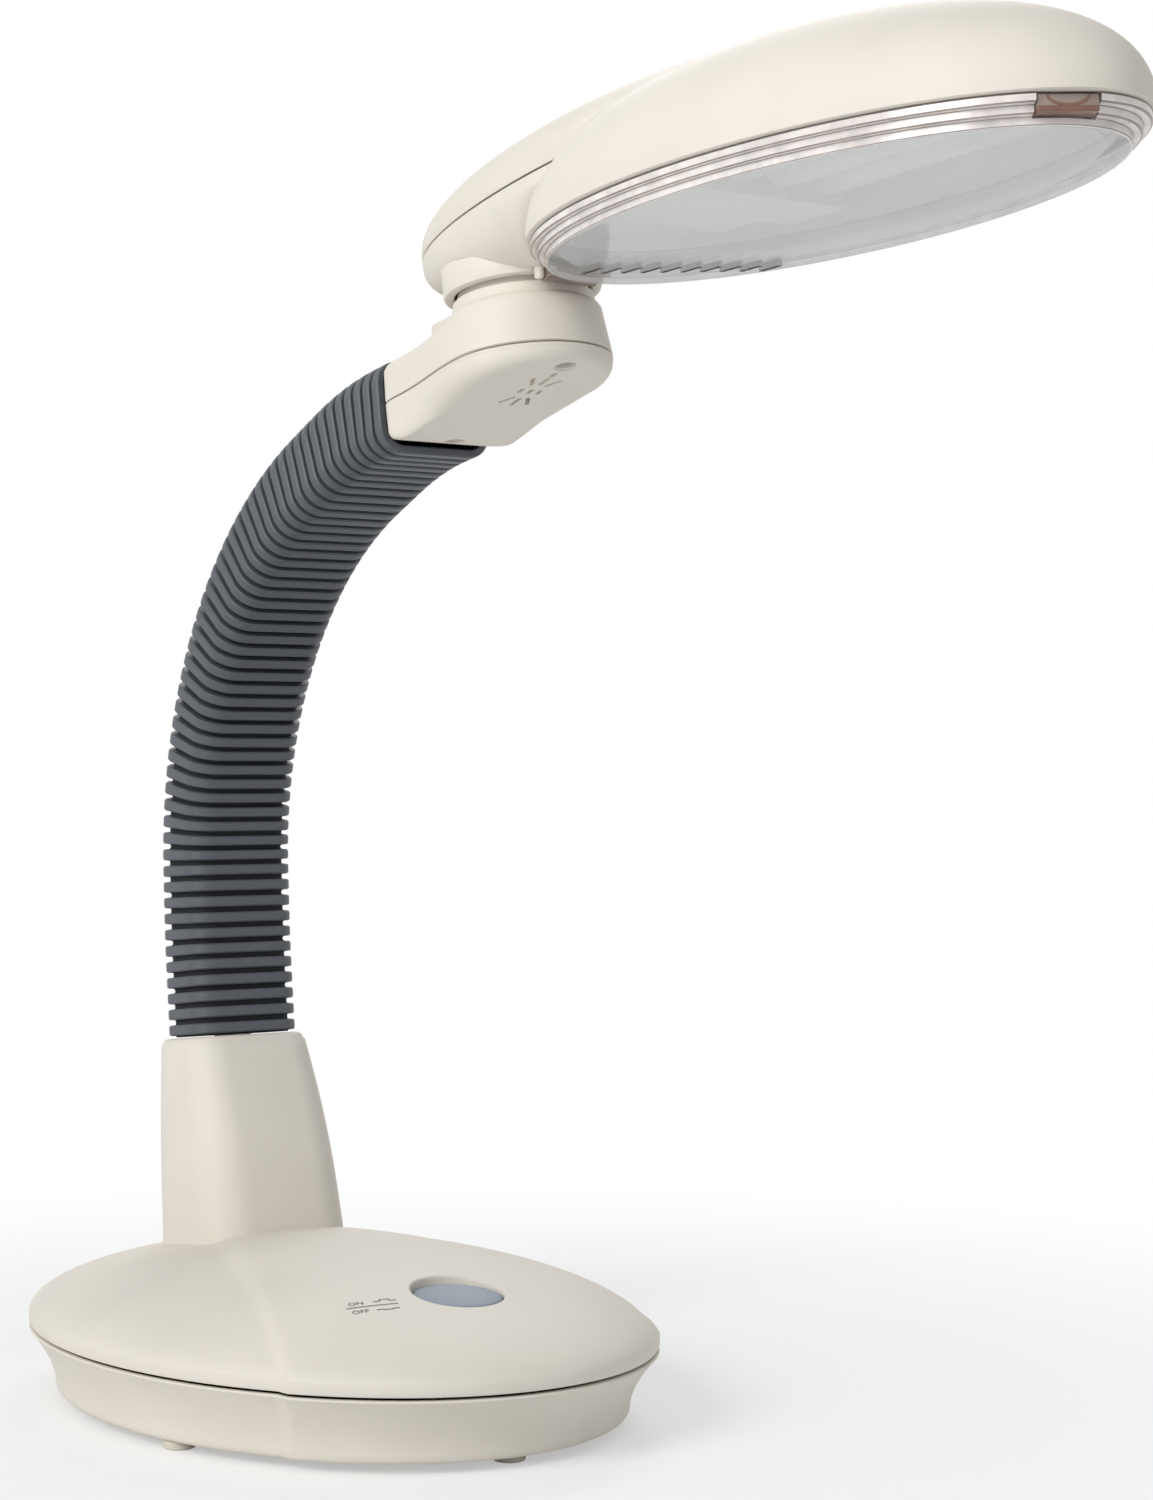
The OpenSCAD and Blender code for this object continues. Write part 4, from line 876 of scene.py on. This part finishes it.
class LAMP_OT_knuckle_upper(bpy.types.Operator):
    """Upper knuckle: the drum, the collar's steps, the hollow sweep to the arm and the stop block"""
    bl_idname = "lamp.knuckle_upper"
    bl_label = "Knuckle housing"

    def execute(self, context):
        k = sizes(context.scene.lamp_knuckle)
        # Hollow sweep from the collar down to the arm, and fall of the arm's top at the neck
        sweep_length, sweep_rise, fall_length, fall = 13.0, 6.5, 9, 1.5
        arm_draft, edge, seam, bore = 0.7, 1.6, 0.25, 11.0
        collar_foot = k.collar_step + 0.3

        def top(r, a):
            u = min(max((r - collar_foot) / sweep_length, 0.0), 1.0)
            sweep = k.arm_top + sweep_rise * (1 - math.sqrt(1 - (1 - u) ** 2))
            sweep -= fall * ease(k.arm_length - fall_length, k.arm_length, r * math.sin(a))
            return mix(k.drum_height, sweep, ease(-0.05, 0.45, math.sin(a)))

        def outline(a, z):
            draft = mix(k.drum - k.drum_top, arm_draft, ease(0.2, 0.8, math.sin(a)))
            return knuckle_reach(k, a) - draft * z / k.drum_height

        lines = []
        for a in turns(KNUCKLE_TURNS):
            full = outline(a, 0)
            high = top(full - 2, a)
            rim = outline(a, high)
            line = [(full - 2.4, seam), (full - 0.5, seam), (full - 0.1, seam + 0.25)]
            wall = [mix(seam + 0.6, high - edge, i / 8) for i in range(9)]
            line += [(outline(a, z), z) for z in wall]
            line += [(rim - edge * inset, high - edge + edge * rise) for inset, rise in quarter(5)]
            inwards = [mix(rim - edge, collar_foot, t) for t in steps(24)]
            line += [(r, top(r, a)) for r in inwards]
            step, collar, mid, end = k.collar_step, k.collar, k.step_height, k.collar_height
            line += [(step, top(collar_foot, a) + 0.3), (step, mid - 0.5), (step - 0.15, mid - 0.15), (step - 0.6, mid),
                     (collar + 0.35, mid), (collar, mid + 0.3), (collar, mid + 2.6), (collar - 0.35, mid + 2.75),
                     (collar - 0.35, end - 0.4), (collar - 0.8, end), (bore, end)]
            lines.append((a, line))
        half, front, back, low, rise = 9, k.drum_top + 3.5, k.drum_top + 18, 4.5, 7
        stop = soft_box((-half, front, low), (half, back, k.drum_height + rise), 1.2)
        add_piece("knuckle_upper", [loft(swept(lines)), stop], ["casing"], knuckle_place(),
                  body="knuckle", stands_for=["knuckle_housing"])
        return {"FINISHED"}


class LAMP_OT_knuckle_lower(bpy.types.Operator):
    """Lower knuckle cover with its round belly, sunk screws and sunburst vent"""
    bl_idname = "lamp.knuckle_lower"
    bl_label = "Knuckle cover"

    def execute(self, context):
        k = sizes(context.scene.lamp_knuckle)
        place = knuckle_place()
        # The floor falls to the back and rises a little before the neck
        bend, lift = k.arm_length - 14, 2.0
        draft, back_belly, least_wall, middle = 0.25, 3.5, 1.2, 1.0

        def floor(y):
            if y > bend:
                return -k.back_depth + lift * ease(bend, k.arm_length, y)
            return mix(-k.front_depth, -k.back_depth, (y + k.drum) / (bend + k.drum))

        lines = []
        for a in turns(KNUCKLE_TURNS):
            full = knuckle_reach(k, a)
            depth = -floor(full * math.sin(a))
            belly = mix(min(k.belly, depth - least_wall), back_belly, ease(0.75, 0.95, math.sin(a)))
            low = floor((full - belly) * math.sin(a))
            line = [(full - 0.5, -0.3), (full - 0.1, -0.55)]
            line += [(full - draft * i / 6, mix(-0.9, low + belly, i / 6)) for i in range(7)]
            line += [(full - draft - belly * inset, low + belly * (1 - rise)) for inset, rise in quarter(9)]
            inwards = [mix(full - draft - belly, middle, t) for t in steps(8)]
            line += [(r, floor(r * math.sin(a))) for r in inwards]
            lines.append((a, line))
        piece = add_piece("knuckle_lower", [loft(swept(lines), True, True)], ["casing"], place,
                          body="knuckle", stands_for=["knuckle_cover"])
        well = [(3.4, 4.0), (3.4, 0.5), (3.7, 0.15), (4.3, -1.5)]
        screw = [(0.7, 0.9), (0.8, 0.0), (1.8, 0.05), (2.7, 0.4), (3.1, 1.0), (3.1, 1.8), (1.5, 1.9), (1.5, 8.0)]
        sunk = 2.2
        cuts, screws = [], []
        for y in (-k.screw_front, k.screw_back):
            cuts.append(turned([(r, floor(y) + z) for r, z in well], Matrix.Translation((0, y, 0)), 40))
            screws.append(turned(screw, Matrix.Translation((0, y, floor(y) + sunk))))
        # The vent: two fans of three rays round a row of dashes, with one more dash in front
        below, into, edge = -3, 2.4, 0.35
        spot = Matrix.Translation((0, k.vent, floor(k.vent)))
        for side in (90, -90):
            for fan in (-28, 0, 28):
                ray = spot @ Matrix.Rotation(math.radians(side + fan), 4, "Z")
                cuts.append(soft_box((5.6, -0.75, below), (11.8, 0.75, into), edge, ray))
        for x, y in ((-3.6, 0.0), (0.0, 0.0), (3.6, 0.0), (0.0, -14.0)):
            dash = Matrix.Translation((x, k.vent + y, floor(k.vent + y)))
            cuts.append(soft_box((-0.8, -1.7, below), (0.8, 1.7, into), edge, dash))
        cut(piece, add_piece("cuts", cuts, ["casing"], place))
        add_piece("knuckle_screw_set", screws, ["steel"], place, body="knuckle", stands_for=["knuckle_screws"])
        return {"FINISHED"}


def swell_distance(point, half_w, half_l, height, power):
    """Rough distance of a point from a round blade or dome, positive outside."""
    def level(x, y, z):
        return (math.hypot(x / half_w, y / half_l) ** power + (abs(z) / height) ** power) ** (1 / power)

    x, y, z = point
    here, d = level(x, y, z), 0.05
    slopes = [(level(x + u, y + v, z + w) - here) / d for u, v, w in ((d, 0, 0), (0, d, 0), (0, 0, d))]
    return (here - 1) / max(math.sqrt(sum(s ** 2 for s in slopes)), 1e-6)


def from_oval(h, p):
    return swell_distance(p, h.half_width, h.half_length, h.crown, DOME_POWER)


def from_tail(h, p):
    return swell_distance(tail_place(h).inverted() @ Vector(p), h.tail_width, h.tail_length, h.tail_height, TAIL_POWER)


def tail_place(h):
    """Frame of the tail: its seam is the plane Z = 0, and Y runs back."""
    return Matrix.Translation((0, h.tail_middle, h.tail_seam)) @ Matrix.Rotation(-h.tail_tilt, 4, "X")


def above_seam(h, p):
    """Height of a point over the plane of the tail's seam."""
    return (tail_place(h).inverted() @ Vector(p)).z


def tail_half(h, way):
    """Upper (way 1) or lower (way -1) half of the tail's blade from its seam to its crown."""
    # Shares of the full outline with their heights: the edge at the seam, then the blade
    rows = [(0.97, 0.35), (0.992, 0.35), (0.998, 0.75)]
    for i in range(3, 46):
        t = math.radians(2 * i)
        share = max(math.cos(t) ** (2 / TAIL_POWER), 0.004)
        rows.append((share, h.tail_height * math.sin(t) ** (2 / TAIL_POWER)))
    place = tail_place(h)
    rings = [[tuple(place @ Vector(p)) for p in oval_ring(h.tail_width * r, h.tail_length * r, z * way, TAIL_TURNS)]
             for r, z in rows]
    return loft(rings, False, True)


def pushed(verts, faces, reach):
    """Verts moved out along their normals by reach(point)."""
    bm = bmesh.new()
    made = [bm.verts.new(v) for v in verts]
    for f in faces:
        bm.faces.new([made[i] for i in f])
    bmesh.ops.recalc_face_normals(bm, faces=bm.faces)
    bm.normal_update()
    found = [tuple(v.co + v.normal * reach(v.co)) for v in made]
    bm.free()
    return found


def kept(verts, faces, keep):
    """Faces with a corner that is kept."""
    flags = [keep(v) for v in verts]
    return [f for f in faces if any(flags[i] for i in f)]


class LAMP_OT_head_shell(bpy.types.Operator):
    """Upper shell: the oval dome and the tail's upper half, with a soft valley between them"""
    bl_idname = "lamp.head_shell"
    bl_label = "Head shell"

    def execute(self, context):
        h = sizes(context.scene.lamp_head)
        w, ratio = h.half_width, h.half_length / h.half_width
        # Inset and height of the lip with its rounded edge
        lip = [(h.wall, 7.0), (h.wall, 0.5), (h.wall - 0.25, 0.1), (1.3, 0.0), (0.5, 0.08), (0.12, 0.4)]
        rows = [(w - inset, z) for inset, z in lip]
        for i in range(2, 61):
            t = math.radians(1.5 * i)
            rows.append((max(w * math.cos(t) ** (2 / DOME_POWER), 0.4), h.crown * math.sin(t) ** (2 / DOME_POWER)))
        dome, dome_faces = loft([oval_ring(r, r * ratio, z, HEAD_TURNS) for r, z in rows], False, True)

        def soft(distance, p):
            near = max(h.fillet - abs(distance), 0) ** 2 / (4 * h.fillet)
            return near * ease(h.crown + 3, h.crown - 7, p[2]) * ease(0.5, 8.0, above_seam(h, p))

        dome = pushed(dome, dome_faces, lambda p: soft(from_tail(h, p), p))
        tail, tail_faces = tail_half(h, 1)
        tail = pushed(tail, tail_faces, lambda p: soft(from_oval(h, p), p) if p[1] < h.half_length else 0.0)
        # Faces that lie deeper than this inside the oval are left out
        hidden = -2.0
        tail_faces = kept(tail, tail_faces, lambda p: from_oval(h, p) > hidden)
        add_piece("head_moulding", [(dome, dome_faces), (tail, tail_faces)], ["casing"], head_place(),
                  body="head", stands_for=["head_shell"])
        return {"FINISHED"}


class LAMP_OT_tail_cover(bpy.types.Operator):
    """Lower tail cover with its gusset against the oval and the skirt round the collar"""
    bl_idname = "lamp.tail_cover"
    bl_label = "Tail cover"

    def execute(self, context):
        h = sizes(context.scene.lamp_head)
        k = sizes(context.scene.lamp_knuckle)
        d = sizes(context.scene.lamp_lens)
        place = head_place()
        to_head = place.inverted() @ knuckle_place()
        tail, faces = tail_half(h, -1)
        # Reach of the gusset at the seam and at the lip, and its slope
        seam_reach, lip_reach, slope = 16.0, 4.0, 0.25

        def gusset(p):
            below = -above_seam(h, p)
            reach = mix(seam_reach, lip_reach, ease(0, h.tail_seam - 2, below))
            near = from_oval(h, p)
            return slope * (reach - near) * ease(-2, 2, near) * ease(0.5, 6.0, below) if near < reach else 0.0

        tail = pushed(tail, faces, gusset)
        # Faces that lie deeper than this inside the oval are left out
        hidden = -1.5
        faces = kept(tail, faces, lambda p: from_oval(h, p) > hidden)
        # Room for the diffuser's hinge barrel
        aside, back, low = 16, d.hinge_y + d.barrel + 0.5, d.barrel + 0.3 - d.hinge_drop
        tail = [(x, y, max(z, low)) if abs(x) < aside and y < back else (x, y, z) for x, y, z in tail]

        def at_level(r, a, level):
            """Point of the skirt at a height above the lip."""
            start, end = (to_head @ polar(r, a, z) for z in (0, 1))
            return tuple(start + (end - start) * (level - start.z) / (end.z - start.z))

        r, inner, hem = h.skirt, k.collar + 0.9, k.collar_height - h.skirt_lap
        rim = [(inner, hem + 5), (inner, hem + 0.6), (k.collar + 1.3, hem + 0.1), (r - 1.2, hem), (r - 0.4, hem + 0.35),
               (r, hem + 1.2)]
        shoulder = [(r, 1.6), (r - 0.2, 0.8), (r - 0.7, 0.25), (r - 1.5, 0.0), (r - 10, 0.0)]
        rings = [[tuple(to_head @ polar(q, a, z)) for a in turns(SKIRT_TURNS)] for q, z in rim]
        rings += [[at_level(q, a, h.skirt_top - drop) for a in turns(SKIRT_TURNS)] for q, drop in shoulder]
        add_piece("tail_moulding", [(tail, faces), loft(rings)], ["casing"], place,
                  body="head", stands_for=["tail_cover"])
        return {"FINISHED"}


def latch_spot(d):
    """Frame of the latch on the diffuser's rim: Y runs inwards."""
    side = math.sqrt(d.half_width ** 2 - d.latch_aside ** 2)
    ratio = d.half_length / d.half_width
    return (Matrix.Translation((-d.latch_aside, -ratio * side, 0))
            @ Matrix.Rotation(math.atan(-ratio * d.latch_aside / side), 4, "Z"))


class LAMP_OT_diffuser(bpy.types.Operator):
    """Clear diffuser: stepped rim, flat floor, louvre slots and hinge barrel"""
    bl_idname = "lamp.diffuser"
    bl_label = "Diffuser"

    def execute(self, context):
        d = sizes(context.scene.lamp_lens)
        place = head_place()
        ratio = d.half_length / d.half_width
        s, w = d.step, d.half_width
        lip, spigot_top = 0.3, 2.5
        rise = (d.depth - lip) / 3

        def rings(profile):
            return [oval_ring(r, r * ratio, z, LENS_TURNS) for r, z in profile]

        outer = [(d.spigot, spigot_top), (d.spigot, -0.2), (w - 0.3, -lip), (w, -0.6)]
        for i in range(3):
            r, z = w - i * s, -lip - i * rise - rise
            outer += [(r, z + 0.35), (r - 0.12, z + 0.1), (r - 0.4, z)]
            if i < 2:
                outer += [(r - s + 0.15, z - 0.05), (r - s, z - 0.25)]
        edge_rows = len(outer) - 1
        outer += [(w - 2 * s - t, -d.depth) for t in (2.0, 12.0, 26.0, 40.0, 51.0)]
        floor, deep = -d.depth + d.wall, d.spigot - d.wall - 2 * s
        inner = [(deep - t, floor) for t in (47.0, 36.0, 24.0, 12.0, 0.4)]
        inner += [(deep, floor + 0.4), (deep, floor + rise - 0.2), (deep + s, floor + rise),
                  (deep + s, floor + 2 * rise - 0.2), (deep + 2 * s, floor + 2 * rise),
                  (deep + 2 * s, spigot_top - 0.1), (d.spigot, spigot_top)]
        verts, faces = loft(rings(outer), False, True)
        # Upright faces carry a painted highlight, the rounded corners under them show as brown lines, the floor is
        # clear
        clear, line, pale = 0, 1, 2
        rows = [pale, line, line] + [pale, line, line, pale, line] * 2 + [pale, line, pale, clear]
        numbers = [rows[min(i // LENS_TURNS, edge_rows)] for i in range(len(faces))]
        lens = add_piece("lens_moulding", [(verts, faces, numbers), loft(rings(inner), True, False)],
                         ["lens", "lens_edge", "lens_painted_highlight"], place, sharp=30, body="diffuser", stands_for=["diffuser"])

        # Louvre slots in a slanting row from its back end, and the latch's notch
        row_x, row_y, past, gap = -10, 93, 1, 0.4
        half = d.latch_width / 2 + gap
        cuts = []
        for i in range(d.louvres):
            x = row_x + i * d.louvre_pitch * math.cos(d.louvre_turn)
            y = row_y + i * d.louvre_pitch * math.sin(d.louvre_turn)
            cuts.append(soft_box((x, y, -d.depth - past), (x + d.louvre_width, y + d.louvre_length, floor + past), 0.3))
        cuts.append((*soft_box((-half, -3.7, -5.7), (half, 11.0, 4.0), 0.2, latch_spot(d)), 1))
        # The cut walls of the slots take the dark painted shade finish, and the notch's walls take the edge tone
        cut(lens, add_piece("slots", cuts, ["lens_slot_painted_shade", "lens_edge"], place), 30)

        # Hinge: the barrel with its bridge on the diffuser, between two lugs on the head
        r, y, z = d.barrel, d.hinge_y, -d.hinge_drop
        half, bore, lug, lug_half = 10, 1.25, 11.5, 1.2
        tube = [(bore, 0.2), (r - 0.3, 0.0), (r, 0.3), (r, 2 * half - 0.3), (r - 0.3, 2 * half), (bore, 2 * half - 0.2)]
        bridge = soft_box((0.2 - half, y - 9.5, z - 1.0), (half - 0.2, y - 1.0, z + 1.0), 0.4)
        add_piece("lens_barrel", [turned(tube, lying("Y", -half, y, z), closed=False), bridge], ["lens_edge"], place,
                  body="diffuser")
        lugs = [soft_box((x - lug_half, y - 1.7, z - 1.7), (x + lug_half, y + 1.7, 3.0), 1.0) for x in (-lug, lug)]
        add_piece("hinge_lugs", lugs, ["casing"], place, body="head", stands_for=["lens_hinge"])
        return {"FINISHED"}


class LAMP_OT_latch(bpy.types.Operator):
    """Smoke-tinted latch tab: front plate, side ribs, ledge and a curved grip"""
    bl_idname = "lamp.latch"
    bl_label = "Latch tab"

    def execute(self, context):
        d = sizes(context.scene.lamp_lens)
        half = d.latch_width / 2
        low = -d.depth + d.wall + 0.6
        spot = latch_spot(d)
        plate, front, rib = 5.62, 1.35, 1.6
        shapes = [soft_box((-half, plate, low), (half, plate + 2.0, 1.6), 0.4, spot),
                  (*soft_box((-half, front, low), (half, front + 9.2, low + 1.6), 0.5, spot), 1),
                  soft_box((-half, front + 0.2, low + 1.2), (half, front + 1.7, -0.5), 0.4, spot)]
        for x in (-half, half - rib):
            shapes.append(soft_box((x, front + 0.6, low + 0.8), (x + rib, plate + 1.0, -0.6), 0.4, spot))
        # The grip is a thin bow: its half width, its depth, where it hangs, and its own half thickness
        wide, deep, hang, thick, proud = 5.4, 2.6, low + 4.3, 0.5, 0.3
        grip = []
        for i in range(17):
            a = math.radians(180 * i / 16)
            x, z = -wide * math.cos(a), hang - deep * math.sin(a)
            points = [Vector((x + thick * math.cos(b) * math.cos(a), front + proud + proud * math.sin(b),
                              z + thick * math.cos(b) * math.sin(a))) for b in turns(8)]
            grip.append([tuple(spot @ p) for p in points])
        shapes.append((*loft(grip, True, True), 1))
        add_piece("latch_tab", shapes, ["latch", "latch_edge"], head_place(), body="latch", stands_for=["lens_latch"])
        return {"FINISHED"}


class LAMP_OT_lamp_tubes(bpy.types.Operator):
    """Four lamp tubes with round ends, joined in pairs"""
    bl_idname = "lamp.lamp_tubes"
    bl_label = "Lamp tubes"

    def execute(self, context):
        d = sizes(context.scene.lamp_lens)
        r, pitch = d.tube / 2, d.tube_pitch
        body = d.tube_length - r
        rows = [(-1.5 + i) * pitch for i in range(4)]
        tube = [(r * 0.9, 0.0), (r, 1.0), (r, body)]
        tube += [(r * math.cos(math.radians(t)), body + r * math.sin(math.radians(t))) for t in range(10, 90, 10)]
        tube.append((0.6, d.tube_length - 0.05))
        shapes = [turned(tube, lying("X", x, d.tube_back, d.tube_height), 36) for x in rows]
        # Waists join the tubes in pairs at the front, and the two pairs near the cap
        waist = [(3.2, 0.0), (3.2, r - 0.6), (2.9, r + 0.6), (2.8, pitch / 2), (2.9, pitch - r - 0.6),
                 (3.2, pitch - r + 0.6), (3.2, pitch)]
        front, back = d.tube_back - d.tube_length + d.tube, d.tube_back - d.tube
        for x, y in ((rows[0], front), (rows[2], front), (rows[1], back)):
            shapes.append(turned(waist, lying("Y", x, y, d.tube_height), 24))
        add_piece("tube_set", shapes, ["tube"], head_place(), body="bulb", stands_for=["lamp_tubes"])
        return {"FINISHED"}


class LAMP_OT_solids(bpy.types.Operator):
    """Finishes for the solids that show as they are"""
    bl_idname = "lamp.solids"
    bl_label = "Solid finishes"

    def execute(self, context):
        for name, finish in NODE_FINISHES.items():
            mesh = frame["nodes"][name].data
            mesh.materials.clear()
            mesh.materials.append(finish_of(finish))
        return {"FINISHED"}


def seen_directly(tree):
    """1 for the rays that show the background: camera, glossy and transmission rays."""
    path = add_node(tree, "ShaderNodeLightPath")
    seen = path.outputs["Is Camera Ray"]
    for other in ("Is Glossy Ray", "Is Transmission Ray"):
        seen = add_node(tree, "ShaderNodeMath", {0: seen, 1: path.outputs[other]}, operation="MAXIMUM").outputs[0]
    return seen


def studio_paper(tint):
    """Pale paper that takes shadows near the lamp and fades to white further out."""
    near, far, near_share = 0.15, 0.6, 0.42
    paper = bpy.data.materials.new("studio_paper_pale")
    paper.use_nodes = True
    tree = paper.node_tree
    tree.nodes.clear()
    place = add_node(tree, "ShaderNodeTexCoord").outputs["Object"]
    tone = two_tones(tree, noise(tree, place, 3, 2.0), toned(tint, 0.99), tint)
    matt = add_node(tree, "ShaderNodeBsdfDiffuse", {"Color": tone})
    glow = add_node(tree, "ShaderNodeEmission", {"Color": (1, 1, 1, 1), "Strength": 1.0})
    distance = add_node(tree, "ShaderNodeVectorMath", {0: place}, operation="LENGTH").outputs["Value"]
    fade = add_node(tree, "ShaderNodeMapRange", {"Value": distance, "From Min": near, "From Max": far,
                                                 "To Min": near_share, "To Max": 1.0}, interpolation_type="SMOOTHSTEP")
    share = add_node(tree, "ShaderNodeMath", {0: seen_directly(tree), 1: fade.outputs["Result"]}, operation="MULTIPLY")
    both = add_node(tree, "ShaderNodeMixShader", {0: share.outputs[0], 1: matt.outputs[0], 2: glow.outputs[0]})
    add_node(tree, "ShaderNodeOutputMaterial", {"Surface": both.outputs[0]})
    return paper


def studio_sky():
    """White background that lights the lamp more softly than it shows."""
    world = bpy.data.worlds.new("studio_sky")
    world.use_nodes = True
    tree = world.node_tree
    tree.nodes.clear()
    light = add_node(tree, "ShaderNodeBackground", {"Color": (0.98, 0.99, 1, 1), "Strength": 0.5})
    white = add_node(tree, "ShaderNodeBackground", {"Color": (1, 1, 1, 1), "Strength": 1.0})
    both = add_node(tree, "ShaderNodeMixShader", {0: seen_directly(tree), 1: light.outputs[0], 2: white.outputs[0]})
    add_node(tree, "ShaderNodeOutputWorld", {"Surface": both.outputs[0]})
    return world


# Softboxes: place, diameter and power, all turned to one point of the lamp
LIGHTS = {
    "key_softbox": ((-1.6, -0.5, 1.1), 1.0, 22.0),
    "fill_softbox": ((0.5, -1.7, 0.8), 1.2, 1.0),
    "back_softbox": ((0.9, 1.0, 1.3), 0.8, 6.0),
}
LIT_POINT = Vector((0, -0.08, 0.22))
# Camera: place, heading in degrees, focal length and sensor width in millimetres, upward shift
EYE, HEADING, FOCAL, SENSOR, SHIFT = (-0.548, -0.935, 0.227), -35, 72.0, 36.0, 20 / 1500
FLOOR_HALF = 9


class LAMP_OT_stage(bpy.types.Operator):
    """Pale floor, soft studio light and the camera"""
    bl_idname = "lamp.stage"
    bl_label = "Stage"

    def execute(self, context):
        scene = context.scene
        scene.view_settings.view_transform = "Standard"
        scene.world = studio_sky()
        floor = bpy.data.meshes.new("studio_floor")
        corners = [(x * FLOOR_HALF, y * FLOOR_HALF, 0) for x, y in ((-1, -1), (1, -1), (1, 1), (-1, 1))]
        floor.from_pydata(corners, [], [(0, 1, 2, 3)])
        floor.materials.append(studio_paper(tuple(scene.lamp_colours.floor)))
        ground = bpy.data.objects.new("studio_floor", floor)
        scene.collection.objects.link(ground)
        for name, (spot, size, power) in LIGHTS.items():
            lamp = bpy.data.lights.new(name, "AREA")
            lamp.shape = "DISK"
            lamp.size = size
            lamp.energy = power
            softbox = bpy.data.objects.new(name, lamp)
            softbox.location = spot
            softbox.rotation_euler = (LIT_POINT - Vector(spot)).to_track_quat("-Z", "Y").to_euler()
            scene.collection.objects.link(softbox)
        camera = bpy.data.cameras.new("camera")
        camera.lens = FOCAL
        camera.sensor_width = SENSOR
        camera.shift_y = SHIFT
        camera.clip_start = 0.05
        eye = bpy.data.objects.new("camera", camera)
        eye.location = EYE
        eye.rotation_euler = (math.radians(90), 0, math.radians(HEADING))
        scene.collection.objects.link(eye)
        scene.camera = eye
        return {"FINISHED"}


OPERATORS = (
    LAMP_OT_stage, LAMP_OT_base_tray, LAMP_OT_base_cover, LAMP_OT_push_button, LAMP_OT_switch_marks, LAMP_OT_feet,
    LAMP_OT_column, LAMP_OT_neck, LAMP_OT_knuckle_upper, LAMP_OT_knuckle_lower, LAMP_OT_head_shell, LAMP_OT_tail_cover,
    LAMP_OT_diffuser, LAMP_OT_latch, LAMP_OT_lamp_tubes, LAMP_OT_solids,
)
GROUPS = {
    "lamp_base": LampBaseSizes, "lamp_column": LampColumnSizes, "lamp_neck": LampNeckSizes,
    "lamp_knuckle": LampKnuckleSizes, "lamp_head": LampHeadSizes, "lamp_lens": LampLensSizes,
    "lamp_colours": LampColours,
}


class LAMP_PT_pieces(bpy.types.Panel):
    """Sizes, colours and pieces of the lamp"""
    bl_label = "Gooseneck lamp"
    bl_idname = "LAMP_PT_pieces"
    bl_space_type = "VIEW_3D"
    bl_region_type = "UI"
    bl_category = "Lamp"

    def draw(self, context):
        for group in GROUPS:
            box = self.layout.box()
            values = getattr(context.scene, group)
            for name in values.__annotations__:
                box.prop(values, name)
        for operator in OPERATORS:
            self.layout.operator(operator.bl_idname)


def register():
    for name, group in GROUPS.items():
        bpy.utils.register_class(group)
        setattr(bpy.types.Scene, name, PointerProperty(type=group))
    for operator in OPERATORS:
        bpy.utils.register_class(operator)
    bpy.utils.register_class(LAMP_PT_pieces)


def unregister():
    bpy.utils.unregister_class(LAMP_PT_pieces)
    for operator in reversed(OPERATORS):
        bpy.utils.unregister_class(operator)
    for name, group in reversed(list(GROUPS.items())):
        delattr(bpy.types.Scene, name)
        bpy.utils.unregister_class(group)


def main():
    register()
    for operator in OPERATORS:
        getattr(bpy.ops.lamp, operator.bl_idname.split(".")[1])()


if __name__ == "__main__":
    main()
